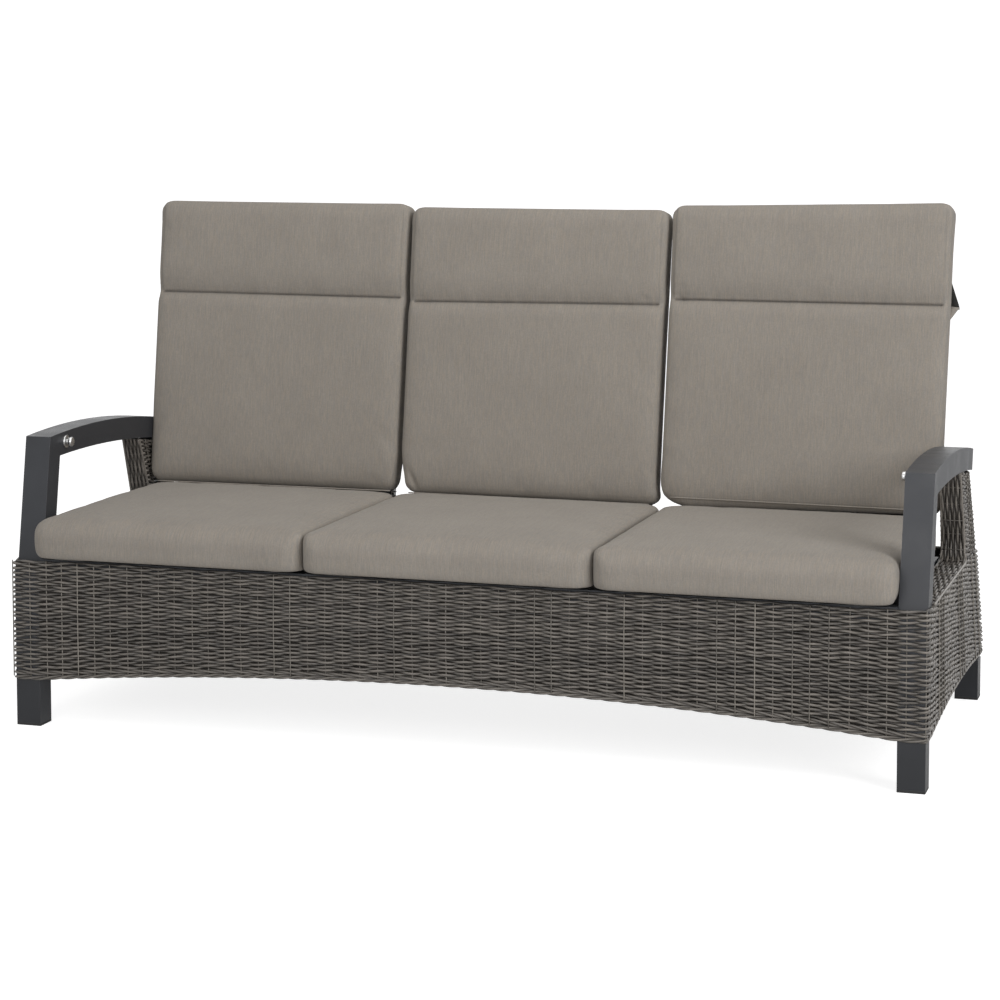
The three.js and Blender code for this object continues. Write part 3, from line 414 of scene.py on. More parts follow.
def new_object(name, points, faces, finish=None):
    """An object with its points in metres, smoothly shaded."""
    mesh = bpy.data.meshes.new(name)
    mesh.from_pydata(np.asarray(points, dtype=float).tolist(), [], [list(face) for face in faces])
    if finish is not None:
        mesh.materials.append(FINISHES[finish])
    mesh.shade_smooth()
    return in_scene(name, mesh)


def give_points(piece, key, values):
    """Stores a number for each point, which the materials read by the key."""
    data = np.asarray(values, dtype=np.float32)
    piece.data.attributes.new(key, "FLOAT", "POINT").data.foreach_set("value", data)


def mesh_piece(name, points, faces, finish, body):
    piece = new_object(name, points, faces, finish)
    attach(piece, body)
    return piece


def placed(points, faces, turn, mirror):
    """Points leaned with a back by turn, or mirrored to the left, and set down in the frame."""
    if turn is not None:
        points = turn(points)
    if mirror:
        points = points * (-1, 1, 1)
        faces = [face[::-1] for face in faces]
    return set_down(points), faces


class Tubes:
    """Tubes swept along many paths, gathered for one mesh."""

    def __init__(self):
        self.points, self.faces, self.tone, self.out = [], [], [], []
        self.count = 0

    def add(self, paths, normals, radius, sides, tone, out, closed):
        """paths and normals are (tubes, steps, 3); tone is one value for each tube, out one for each step."""
        tubes, steps, _ = paths.shape
        if closed:
            along = np.roll(paths, -1, axis=1) - np.roll(paths, 1, axis=1)
        else:
            along = np.gradient(paths, axis=1)
        along /= np.linalg.norm(along, axis=-1, keepdims=True)
        across = np.cross(along, normals)
        across /= np.linalg.norm(across, axis=-1, keepdims=True)
        up = np.cross(across, along)
        angles = np.arange(sides) * 2 * math.pi / sides
        rings = (
            paths[:, :, None]
            + radius * np.cos(angles)[:, None] * up[:, :, None]
            + radius * np.sin(angles)[:, None] * across[:, :, None]
        )
        start = self.count + np.arange(tubes * steps * sides).reshape(tubes, steps, sides)
        ahead = np.roll(start, -1, axis=1) if closed else start[:, 1:]
        here = start if closed else start[:, :-1]
        faces = np.stack([here, np.roll(here, -1, axis=2), np.roll(ahead, -1, axis=2), ahead], axis=-1)
        self.faces.extend(faces.reshape(-1, 4).tolist())
        if not closed:
            self.faces.extend(start[:, 0, ::-1].tolist())
            self.faces.extend(start[:, -1].tolist())
        self.points.append(rings.reshape(-1, 3))
        self.tone.append(np.broadcast_to(tone[:, None, None], start.shape).ravel())
        self.out.append(np.broadcast_to(out[:, :, None], start.shape).ravel())
        self.count += rings.size // 3

    def piece(self, name, finish, body, turn=None, mirror=False):
        points, faces = placed(np.concatenate(self.points), self.faces, turn, mirror)
        piece = mesh_piece(name, points, faces, finish, body)
        give_points(piece, "tone", np.concatenate(self.tone))
        give_points(piece, "out", np.concatenate(self.out))
        return piece


def normals_of(surface, u, v, step=1e-3):
    along = surface(u + step, v) - surface(u - step, v)
    up = surface(u, v + step) - surface(u, v - step)
    normal = np.cross(along, up)
    return normal / np.linalg.norm(normal, axis=-1, keepdims=True)


def woven(surface, stakes, rows, seed, closed=False, steps=8, first=0, bands=1, **strand):
    """Strands in rows over and under stakes, in so many bands of rows from the foot up, then the stakes.

    surface(u, v) has u in stakes and v in rows. Strands start at row first, turn at the middle between two
    stakes, swing out by swing and drift by wander."""
    strand = {"swing": SWING, "wander": WANDER, "radius": STRAND} | strand
    swing, wander, radius = strand["swing"], strand["wander"], strand["radius"]
    random = np.random.default_rng(seed)
    count = stakes * steps + (0 if closed else 1)
    u = np.broadcast_to(np.arange(count) / steps, (rows - first, count))
    row = np.arange(first, rows)[:, None]
    drift = np.zeros_like(u)
    for waves in WANDER_WAVES:
        phase = random.uniform(0, 2 * math.pi, row.shape)
        cycles = max(1, round(waves * stakes / WANDER_STAKES))
        drift = drift + np.sin(2 * math.pi * cycles * u / stakes + phase) / 2
    v = row + 0.5 + wander * drift
    points = surface(u, v)
    normals = normals_of(surface, u, v)
    reach = swing * random.uniform(0.85, 1.15, row.shape)
    side = np.cos(math.pi * (u + row))
    paths = points + normals * (reach * np.tanh(2 * side) / math.tanh(2))[..., None]
    tone = random.uniform(0, 1, len(row))
    # how far out a strand lies, which the cane material turns into painted shade and highlight
    out = side / 2 + 0.5
    strands = []
    for band in np.array_split(np.arange(len(row)), bands):
        strands.append(Tubes())
        strands[-1].add(paths[band], normals[band], radius, STRAND_SIDES, tone[band], out[band], closed)
    posts = stakes if closed else stakes + 1
    stake_u = np.arange(posts)[:, None] + random.uniform(-0.06, 0.06, (posts, 1))
    stake_v = np.linspace(0.1, rows - 0.1, max(4, rows // 2))[None, :]
    stake_u, stake_v = np.broadcast_arrays(stake_u, stake_v)
    normals = normals_of(surface, stake_u, stake_v)
    outside = random.uniform(size=(posts, 1)) < STAKES_OUTSIDE
    paths = surface(stake_u, stake_v) + normals * np.where(outside, swing + radius - 0.5, 1.2)[..., None]
    tone = random.uniform(0, 1, posts) ** 2
    stake_tubes = Tubes()
    stake_tubes.add(paths, normals, STAKE, 4, tone, np.full(stake_u.shape, 0.7), False)
    return *strands, stake_tubes


def sheet_grid(outer, inner, closed):
    """A closed skin between two grids of points; closed joins the last column to the first."""
    rows, columns, _ = outer.shape
    number = np.arange(rows * columns).reshape(rows, columns)
    shift = rows * columns

    def quads(low, high):
        return np.stack([low[:-1], low[1:], high[1:], high[:-1]], axis=-1).reshape(-1, 4)

    faces = []
    first = np.concatenate([number, number[:, :1]], axis=1) if closed else number
    for row in range(rows - 1):
        faces += quads(first[row], first[row + 1]).tolist()
        faces += (quads(first[row], first[row + 1])[:, ::-1] + shift).tolist()
    faces += quads(first[0] + shift, first[0]).tolist()
    faces += quads(first[-1], first[-1] + shift).tolist()
    if not closed:
        faces += quads(number[:, 0], number[:, 0] + shift).tolist()
        faces += quads(number[:, -1] + shift, number[:, -1]).tolist()
    return np.concatenate([outer.reshape(-1, 3), inner.reshape(-1, 3)]), faces


def lining(name, surface, stakes, rows, body, depth, closed=False, turn=None, mirror=False):
    """The dark backing of a weave, at a depth behind it, which keeps light from showing through; its dark
    colour is painted shade for the hollow inside the weave.
    """
    u = np.arange(stakes * 2 + (0 if closed else 1)) / 2
    v = np.linspace(0.3, rows - 0.3, 14)
    u, v = np.meshgrid(u, v)
    points = surface(u, v)
    normals = normals_of(surface, u, v)
    points, faces = sheet_grid(points - normals * depth, points - normals * (depth + BACKING), closed)
    mesh_piece(name, *placed(points, faces, turn, mirror), "cane_lining", body)


def ring(u, counts, x0, x1, y0, y1, radius):
    """Round a rectangle with rounded corners, from its front left corner, u in stakes."""
    ends = np.concatenate([[0], np.cumsum(counts)])
    u = u % ends[-1]
    side = np.clip(np.searchsorted(ends, u, side="right") - 1, 0, 3)
    share = (u - ends[side]) / np.asarray(counts)[side]
    length = np.where(side % 2 == 0, x1 - x0, y1 - y0)
    from_start = share * length
    near = np.minimum(from_start, length - from_start)
    angle = math.pi / 4 * np.clip(1 - near / radius, 0, 1)
    near = np.where(near < radius, radius * (1 - np.sin(angle)), near)
    along = np.where(from_start < length / 2, near, length - near)
    out = radius * (np.cos(angle) - 1)
    x = np.choose(side, [x0 + along, x1 + out, x1 - along, x0 - out])
    y = np.choose(side, [y0 - out, y0 + along, y1 + out, y1 - along])
    return x, y


# Recline buttons, turned about the line through the arm; their profiles give x and radius
BUTTON_AT = (137.55, 594)
SPOKES = 40
KNOB = ((917, 5.8), (895.6, 5.8), (895.4, 9), (894.6, 9.8), (888.4, 9.8), (887, 8.8), (886.4, 7))
COLLAR = ((902.75, 13.6), (901.2, 13.8), (900.2, 13), (899.7, 11), (899.7, 6.2), (901, 6.1))
BUTTON_SHARP_FROM = math.radians(50)


def turned(name, profile, mirror, body, node):
    angle = np.arange(SPOKES) * 2 * math.pi / SPOKES
    x, radius = np.array(profile).T[:, :, None]
    y, z = BUTTON_AT[0] + radius * np.cos(angle), BUTTON_AT[1] + radius * np.sin(angle)
    points = stacked(x, y, z).reshape(-1, 3)
    number = np.arange(len(profile) * SPOKES).reshape(-1, SPOKES)
    ahead = np.roll(number, -1, axis=1)
    quads = np.stack([number[:-1], ahead[:-1], ahead[1:], number[1:]], axis=-1).reshape(-1, 4)
    faces = [face[::-1] for face in (*quads.tolist(), number[0, ::-1].tolist(), number[-1].tolist())]
    piece = mesh_piece(name, *placed(points, faces, None, mirror), "button_steel", body)
    piece.data.set_sharp_from_angle(angle=BUTTON_SHARP_FROM)
    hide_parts(node)


for side, mirror in SIDES.items():
    turned(f"knob_{side}", KNOB, mirror, f"button_{side}", f"recline_button_{side}")
    turned(f"collar_{side}", COLLAR, mirror, "base", f"button_collar_{side}")


# The base's skin: one weave round the front, sides and rear
BASE_STAKES = (52, 24, 52, 24)
BASE_ROWS = 48
BASE_STEPS = 6  # points of a strand from stake to stake
BORDER_ROPES = ((-0.25, 1, 5), (1.75, -1, 6))  # middle row, way of the twist, seed
BORDER_ROWS = 3  # covered by the ropes
ROPE_SWING = 3.0
ROPE_SINK = 0.6
ROPE_RISE = 0.56  # in rows


def base_surface(u, v):
    u, v = np.broadcast_arrays(u, v)
    share = v / BASE_ROWS
    x, y = ring(u, BASE_STAKES, -SIDE_X, SIDE_X, SKIN_FRONT, SKIN_REAR, SKIN_CORNER)
    ends = np.cumsum(BASE_STAKES)
    turn = u % ends[-1]
    on_side = ((turn > ends[0]) & (turn < ends[1])) | (turn > ends[2])
    half, rise = FRONT_ARCH
    start, end, side_rise = SIDE_ARCH
    arch = np.where(on_side, side_rise * swell(y, start, end), rise * swell(x, -half, half))
    foot = ARCH_FOOT + arch
    z = between(foot, SKIN_TOP, share)
    width = SIDE_X * (1 - SIDE_LEAN * z)
    x, y = ring(u, BASE_STAKES, -width, width, SKIN_FRONT, rear_line(z), SKIN_CORNER)
    bulge = FRONT_BULGE * swell(x, -half, half) * np.sin(math.pi * np.clip(share, 0, 1)) ** 2
    y = y - np.where(turn < ends[0], bulge, 0)
    return stacked(x, y, z)


base_stakes = sum(BASE_STAKES)
*bands, posts = woven(
    base_surface, base_stakes, BASE_ROWS, 11, closed=True, steps=BASE_STEPS, first=BORDER_ROWS, bands=3
)
# the lower border: two ropes of three strands, each strand passing to the front once in three stakes
border = Tubes()
for middle_row, twist, seed in BORDER_ROPES:
    random = np.random.default_rng(seed)
    places = base_stakes * BASE_STEPS
    u = np.broadcast_to(np.arange(places) / BASE_STEPS, (3, places))
    angle = 2 * math.pi * (u * round(base_stakes / 3) / base_stakes + np.arange(3)[:, None] / 3)
    v = middle_row + twist * ROPE_RISE * np.sin(angle)
    normals = normals_of(base_surface, u, v)
    paths = base_surface(u, v) + normals * (ROPE_SWING * np.cos(angle) - ROPE_SINK)[..., None]
    # the ropes take darker tones than the strands above: painted shade along the foot of the weave
    tone = random.uniform(0.1, 0.6, 3)
    border.add(paths, normals, BORDER_STRAND, BORDER_SIDES, tone, np.cos(angle) / 2 + 0.5, True)
border.piece("base_border", "cane", "base")
base_skin, *_ = (
    band.piece(f"base_weave_{name}", "cane", "base") for band, name in zip(bands, ("lower", "middle", "upper"))
)
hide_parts("weave_front", "weave_rear", "weave_side_left", "weave_side_right")
posts.piece("base_stakes", "cane_light", "base")
lining("base_shade_backing", base_surface, base_stakes, BASE_ROWS, "base", 4.6, closed=True)


# Wings: three sides of each, then one run of strands along the sill and up the wing's front edge
WING_STAKES = (1, 5, 1, 5)
WING_ROWS = 36
WING_CORNER = 8
WING_MIDDLE = 108  # height over the skin where a stake's place from front to rear is taken
FRONT_SET_BACK = 2


def wing_front(z):
    front = between(WING_FRONT_FOOT, WING_FRONT_TOP, (z - SKIN_TOP) / WING_HEIGHT)
    rise = np.clip(1 - (z - SKIN_TOP) / FLARE, 0, 1)
    return front - FLARE * (1 - np.sqrt(1 - rise * rise))


def wing_outer(z):
    return between(WING_OUTER_FOOT, WING_OUTER_TOP, (z - SKIN_TOP) / WING_HEIGHT)


def wing_surface(u, v):
    u, v = np.broadcast_arrays(u, v)
    along = u + WING_STAKES[0]
    rear = rear_line(SKIN_TOP + WING_MIDDLE)
    _, y = ring(along, WING_STAKES, WING_INNER, WING_OUTER_FOOT, WING_FRONT_TOP, rear, WING_CORNER)
    back = np.clip((y - WING_FRONT_TOP) / (HINGE[0] - WING_FRONT_TOP), 0, 1)
    z = between(SKIN_TOP + 1, between(*ARM_UNDER, back), v / WING_ROWS)
    front = wing_front(z) + FRONT_SET_BACK
    x, y = ring(along, WING_STAKES, WING_INNER, wing_outer(z), front, rear_line(z), WING_CORNER)
    return stacked(x, y, z)


SILL_STRANDS = 9
SILL_OUTER = 963.3  # the sill's outer edge, which eases into the wing's over SILL_EASE of height
SILL_EASE = 20
SILL_STAKES = 20
SILL_FLAT = WING_FRONT_FOOT - FLARE - POST_REAR
SILL_BEND = FLARE * math.pi / 2
SILL_LENGTH = SILL_FLAT + SILL_BEND + WING_HEIGHT - FLARE


def sill_path(s):
    """Places along the sill from the post, round the flare and up the wing's front; s in mm."""
    angle = np.clip((s - SILL_FLAT) / FLARE, 0, math.pi / 2)
    y = POST_REAR + np.minimum(s, SILL_FLAT) + FLARE * np.sin(angle)
    z = SKIN_TOP + FLARE * (1 - np.cos(angle)) + np.maximum(0, s - SILL_FLAT - SILL_BEND)
    lean = (WING_FRONT_FOOT - WING_FRONT_TOP) / WING_HEIGHT
    return y - lean * (z - SKIN_TOP), z


def sill_surface(u, v):
    y, z = sill_path(u / SILL_STAKES * SILL_LENGTH)
    outer = between(SILL_OUTER, wing_outer(z), smooth(z, SKIN_TOP, SKIN_TOP + SILL_EASE))
    return stacked(between(outer, WING_INNER, v / SILL_STRANDS), y, z)


# two thicker strands along the edges of the sill, in so many steps
EDGE_STEPS = 160
EDGE_ROWS = np.array([[-0.1], [SILL_STRANDS + 0.1]])
edge_paths = sill_surface(np.linspace(0, SILL_STAKES, EDGE_STEPS), EDGE_ROWS)
edge_normals = normals_of(sill_surface, np.linspace(0.01, SILL_STAKES - 0.01, EDGE_STEPS), EDGE_ROWS)

for side, mirror in SIDES.items():
    stakes = sum(WING_STAKES[1:])
    strands, posts = woven(wing_surface, stakes, WING_ROWS, 21 + mirror, steps=7)
    sill, cross = woven(
        sill_surface, SILL_STAKES, SILL_STRANDS, 31 + mirror, swing=1.6, wander=0.12, radius=2.6
    )
    tone, out = np.array([1.0, 0.6]), np.ones((2, EDGE_STEPS))
    strands.add(edge_paths, edge_normals, BORDER_STRAND, BORDER_SIDES, tone, out, False)
    wing = strands.piece(f"wing_weave_{side}", "cane", "base", mirror=mirror)
    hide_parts(f"weave_wing_{side}")
    posts.piece(f"wing_stakes_{side}", "cane_light", "base", mirror=mirror)
    sill.piece(f"sill_weave_{side}", "cane", "base", mirror=mirror)
    cross.piece(f"sill_stakes_{side}", "cane", "base", mirror=mirror)
    lining(f"wing_shade_backing_{side}", wing_surface, stakes, WING_ROWS, "base", 4.4, mirror=mirror)
    lining(f"sill_shade_backing_{side}", sill_surface, SILL_STAKES, SILL_STRANDS, "base", 3.6, mirror=mirror)


# Back panels
PANEL_STAKES = (15, 1, 15, 1)
PANEL_ROWS = 118
PANEL_MID = PANEL_FACE - 4.2
PANEL_CORNER = 6
PANEL_SWING = 2.2
PANEL_STRAND = 2.4
CAP_STAKES = 14
CAP_ROWS = 5
BACKS = {"left": ("back_left", -SEAT_PITCH), "middle": ("base", 0), "right": ("back_right", SEAT_PITCH)}


def leaning(middle):
    return lambda points: leaned(points, middle)


def panel_surface(u, v):
    half = PANEL_HALF - 3
    x, y = ring(u + PANEL_STAKES[0], PANEL_STAKES, -half, half, -PANEL_MID, PANEL_MID, PANEL_CORNER)
    return stacked(x, y, between(PANEL_FOOT + 2, PANEL_TOP - 2, v / PANEL_ROWS))


def panel_top(u, v):
    half = PANEL_HALF - 4
    x, y = between(half, -half, u / CAP_STAKES), between(-PANEL_MID, PANEL_MID, v / CAP_ROWS)
    return stacked(x, y, PANEL_TOP - 3.2)


for back, (body, middle) in BACKS.items():
    turn = leaning(middle)
    stakes, seed = sum(PANEL_STAKES[1:]), 41 + len(back)
    strands, posts = woven(
        panel_surface, stakes, PANEL_ROWS, seed, steps=6, swing=PANEL_SWING, radius=PANEL_STRAND
    )
    panel = strands.piece(f"panel_weave_{back}", "cane", body, turn=turn)
    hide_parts(f"back_weave_{back}")
    posts.piece(f"panel_stakes_{back}", "cane_light", body, turn=turn)
    cap, _ = woven(panel_top, CAP_STAKES, CAP_ROWS, 51, steps=4, swing=1.2, wander=0.1)
    cap.piece(f"panel_cap_{back}", "cane", body, turn=turn)
    lining(f"panel_shade_backing_{back}", panel_surface, stakes, PANEL_ROWS, body, 1.2, turn=turn)


# Cushions
VOXEL = 7
FILLING = {
    "quality": 4,
    "mass": 0.3,
    "tension_stiffness": 15,
    "compression_stiffness": 15,
    "bending_stiffness": 2.5,
    "use_pressure": True,
    "uniform_pressure_force": 4.0,
}
FILL_REACH = 5  # the most that the filling moves a point
FILL_FRAMES = 20


def rounded_block(low, high, thin, corner, edge_at, steps):
    """Points and faces of a block: rounded corners seen along its thin axis, and rounded edges.

    edge_at gives the edge's radius by the way outwards and the place along the thin axis."""
    low, high = np.array(low, float), np.array(high, float)
    mid, half = (low + high) / 2, (high - low) / 2
    flat = [axis for axis in range(3) if axis != thin]
    points, faces, seen = [], [], {}

    def number(key):
        if key not in seen:
            seen[key] = len(points)
            points.append(key)
        return seen[key]

    for axis in range(3):
        a, b = (axis + 1) % 3, (axis + 2) % 3
        for end in (0, steps[axis]):
            for i in range(steps[a]):
                for j in range(steps[b]):
                    corners = [(i, j), (i + 1, j), (i + 1, j + 1), (i, j + 1)]
                    if end == 0:
                        corners.reverse()
                    face = []
                    for p, q in corners:
                        key = [0, 0, 0]
                        key[axis], key[a], key[b] = end, p, q
                        face.append(number(tuple(key)))
                    faces.append(face)
    p = np.array(points, float) / np.array(steps, float)
    p = low + (high - low) * p
    away = p - mid
    out = away[:, flat] - np.clip(away[:, flat], -(half[flat] - corner), half[flat] - corner)
    reach = np.abs(out).max(axis=1)
    length = np.linalg.norm(out, axis=1)
    heading = out / np.maximum(length, 1e-9)[:, None]
    edge = edge_at(heading, away[:, thin])
    over = reach - corner + edge
    rise = np.abs(away[:, thin]) - half[thin] + edge
    bend = (over > 0) & (rise > 0)
    size = np.maximum(np.hypot(over, rise), 1e-9)
    thin_place = np.where(
        bend, np.sign(away[:, thin]) * (half[thin] - edge + edge * rise / size), away[:, thin]
    )
    reach = np.where(bend, corner - edge + edge * over / size, reach)
    core = away[:, flat] - out
    result = np.empty_like(p)
    result[:, flat] = mid[flat] + core + heading * reach[:, None]
    result[:, thin] = mid[thin] + thin_place
    return result, faces


def filled(name, points, faces, fit):
    """A cushion's mesh: remeshed, blown up as cloth with each point's way capped, then refined.

    fit gives, for each axis, the limits that the filled cushion is stretched back to."""
    piece = new_object(name, points * MM, faces)
    bpy.context.view_layer.objects.active = piece
    remesh = piece.modifiers.new("even", "REMESH")
    remesh.mode = "VOXEL"
    remesh.voxel_size = VOXEL * MM
    apply(piece)
    start = read(piece)
    sim = piece.modifiers.new("fill", "CLOTH")
    for key, value in FILLING.items():
        setattr(sim.settings, key, value)
    sim.settings.effector_weights.gravity = 0
    sim.collision_settings.use_collision = False
    for number in range(1, FILL_FRAMES + 1):
        scene.frame_set(number)
    apply(piece)
    scene.frame_set(1)
    way = read(piece) - start
    length = np.linalg.norm(way, axis=1, keepdims=True)
    way *= np.minimum(1, FILL_REACH * MM / np.maximum(length, 1e-9))
    write(piece, start + way)
    place = read(piece) / MM
    for axis, limits in enumerate(fit):
        place[:, axis] = np.interp(place[:, axis], span(place[:, axis]), limits)
    write(piece, place * MM)
    refine = piece.modifiers.new("refine", "SUBSURF")
    refine.levels = refine.render_levels = 1
    apply(piece)
    return piece


def apply(piece):
    """Turns the piece's modifiers into its mesh."""
    graph_now = bpy.context.evaluated_depsgraph_get()
    graph_now.update()
    mesh = bpy.data.meshes.new_from_object(piece.evaluated_get(graph_now))
    piece.modifiers.clear()
    old = piece.data
    piece.data = mesh
    bpy.data.meshes.remove(old)


def read(piece):
    values = np.empty(len(piece.data.vertices) * 3)
    piece.data.vertices.foreach_get("co", values)
    return values.reshape(-1, 3)


def write(piece, points):
    piece.data.vertices.foreach_set("co", np.asarray(points).ravel())
    piece.data.update()


def wrinkles(points, scale, seed):
    """Smooth noise from a few seeded waves, about -1 to 1, for points in millimetres."""
    random = np.random.default_rng(seed)
    total = np.zeros(len(points))
    for _ in range(7):
        way = random.normal(size=3) * scale
        total += np.sin(points @ way + random.uniform(0, 2 * math.pi))
    return total / 3.5


def drawn_to(values, line, reach):
    """Values near a line moved closer to it, so that points crowd round a seam."""
    share = np.clip(np.abs(values - line) / reach, 0, 1)
    return line + (values - line) * (0.2 + 0.8 * share)


def ridge(places, start, end, wide=6.0):
    """1 along the middle of a line from start to end, fading to 0 beside it and at its ends."""
    start, way = np.array(start, float), np.subtract(end, start)
    share = (places - start) @ way / (way @ way)
    off = np.linalg.norm(places - start - np.clip(share, 0, 1)[:, None] * way, axis=1)
    return np.exp(-((off / wide) ** 2)) * np.clip(1.2 - np.abs(2 * share - 1), 0, 1)


def dress(piece, body, node, seam_shade):
    """Finishes a cushion, with each point's share of the painted shade in a seam's crease as the last
    argument.
    """
    piece.data.materials.clear()
    piece.data.materials.append(FINISHES["cushion_cloth"])
    piece.data.shade_smooth()
    give_points(piece, "seam_shade", seam_shade)
    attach(piece, body)
    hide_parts(node)


SEAT_LOW = 360.8
SEAT_EDGE = 446.8
SEAT_FRONT = -38
SEAT_REAR = 584
SEAT_CROWN = 15
SEAT_CORNER = 38
SEAT_SEAM = 368  # height of the seam round the foot of the cushion
SEAM_HALF = 1.6
SEAT_X = {"left": (-902, -305.3), "middle": (-304.5, 304.5), "right": (305.3, 902)}
# Radii of the edges: outer side, sides between cushions, front, rear, and the most below
OUTER_EDGE, INNER_EDGE, FRONT_EDGE, REAR_EDGE, LOW_EDGE = 19, 9, 38, 12, 18
WAIST = 3  # how far the sides draw in at the foot and the top
EAR = (12, 40)  # how far the outer front corner stands out, over what depth

for seat, (x0, x1) in SEAT_X.items():
    outward = {"left": -1, "middle": 0, "right": 1}[seat]

    def seat_edge(heading, height, outward=outward):
        side = np.where(outward * heading[:, 0] > 0.5, OUTER_EDGE, INNER_EDGE)
        ends = np.where(heading[:, 1] < 0, FRONT_EDGE, REAR_EDGE)
        top = between(side, ends, heading[:, 1] ** 2)
        return np.where(height > 0, top, np.minimum(top, LOW_EDGE))

    corners = (x0, SEAT_FRONT, SEAT_LOW), (x1, SEAT_REAR, SEAT_EDGE)
    points, faces = rounded_block(*corners, 2, SEAT_CORNER, seat_edge, (60, 62, 14))
    in_x = swell(points[:, 0], x0, x1)
    in_y = swell(points[:, 1], SEAT_FRONT, SEAT_REAR)
    in_z = swell(points[:, 2], SEAT_LOW, SEAT_EDGE)
    high = points[:, 2] > (SEAT_LOW + SEAT_EDGE) / 2
    points[:, 2] += np.where(high, SEAT_CROWN * in_x**0.35 * in_y**0.6, 0)
    middle, half = (x0 + x1) / 2, (x1 - x0) / 2
    near = smooth(np.abs(points[:, 0] - middle), half - SEAT_CORNER, half)
    towards = np.sign(points[:, 0] - middle)
    ear = EAR[0] * (1 - smooth(points[:, 1], SEAT_FRONT, SEAT_FRONT + EAR[1]))
    ear = np.where(outward * towards > 0, ear, 0)
    points[:, 0] -= towards * near * (WAIST * (1 - in_z) * in_y - ear * np.sqrt(in_z))
    fit = span(points[:, 0]), (SEAT_FRONT, SEAT_REAR), (SEAT_LOW, SEAT_EDGE + SEAT_CROWN)
    piece = filled(f"seat_{seat}", points, faces, fit)
    place = read(piece) / MM
    place[:, 2] = drawn_to(place[:, 2], SEAT_SEAM, 8)
    line = np.exp(-(((place[:, 2] - SEAT_SEAM) / SEAM_HALF) ** 2))
    centre = np.array([middle, (SEAT_FRONT + SEAT_REAR) / 2])
    place[:, :2] = centre + (place[:, :2] - centre) * (1 - 0.002 * line[:, None])
    write(piece, set_down(place))
    dress(piece, "base", f"seat_cushion_{seat}", 0.35 * line)


BACK_FRONT = -91
BACK_REAR = -17.3
BACK_CORNER = 24
BOXING = 12  # from the sides to the upright seams of the headrest
BACK_CROWN = 6.0
# Radii of the edges: sides, and what the foot and the top add on the front; the rear's
BACK_SIDE_EDGE, BACK_FOOT_EDGE, BACK_TOP_EDGE, BACK_REAR_EDGE = 11, 13, 8, 6
SEAM_ROLL = (12.0, 60, 30)  # how deep the front falls in to the headrest seam, from how far above and below
FOOT_ROLL = (10.0, 80)  # the same at the foot
CREASE = (6.0, 2.0)  # depth and half width of the headrest seam
PIPING = 1.5  # radius
PIPING_FRONT = -86.5
PIPING_RISE = {"left": (0, 0), "middle": (0, 0), "right": (21, 9)}  # above the foot's ends
PIPING_STEPS = 40
# Heights at the left and right edge, from the hinge: top, headrest seam, foot; then the left and
# right edge themselves, and how far the lower left and right corners are drawn in,
# over what height, and how far the left one is lifted
BACK_SHAPES = {
    "left": ((692, 691), (481, 478), (44, 45), (-306.5, 298), ((3, 200), (8, 90)), 0),
    "middle": ((684, 684), (471, 476), (43, 41), (-298, 291.5), ((12, 110), (-4, 40)), 0),
    "right": ((694, 706), (488, 488), (38, 46), (-302.5, 303.5), ((7, 60), (0, 1)), 13),
}
FOLDS = {  # short folds on the front: from and to (x, z), and depth
    "left": [((270, 476), (238, 462), 1.4)],
    "middle": [((-250, 46), (-270, 96), 5.0), ((-262, 480), (-236, 470), 1.4), ((262, 484), (238, 494), 1.2)],
    "right": [((-286, 500), (-262, 480), 1.8), ((284, 506), (262, 494), 1.2)],
}


def back_edge(heading, height):
    more = np.where(heading[:, 1] < 0, BACK_FOOT_EDGE, BACK_TOP_EDGE)
    return np.where(height < 0, BACK_SIDE_EDGE + more * heading[:, 1] ** 2, BACK_REAR_EDGE)


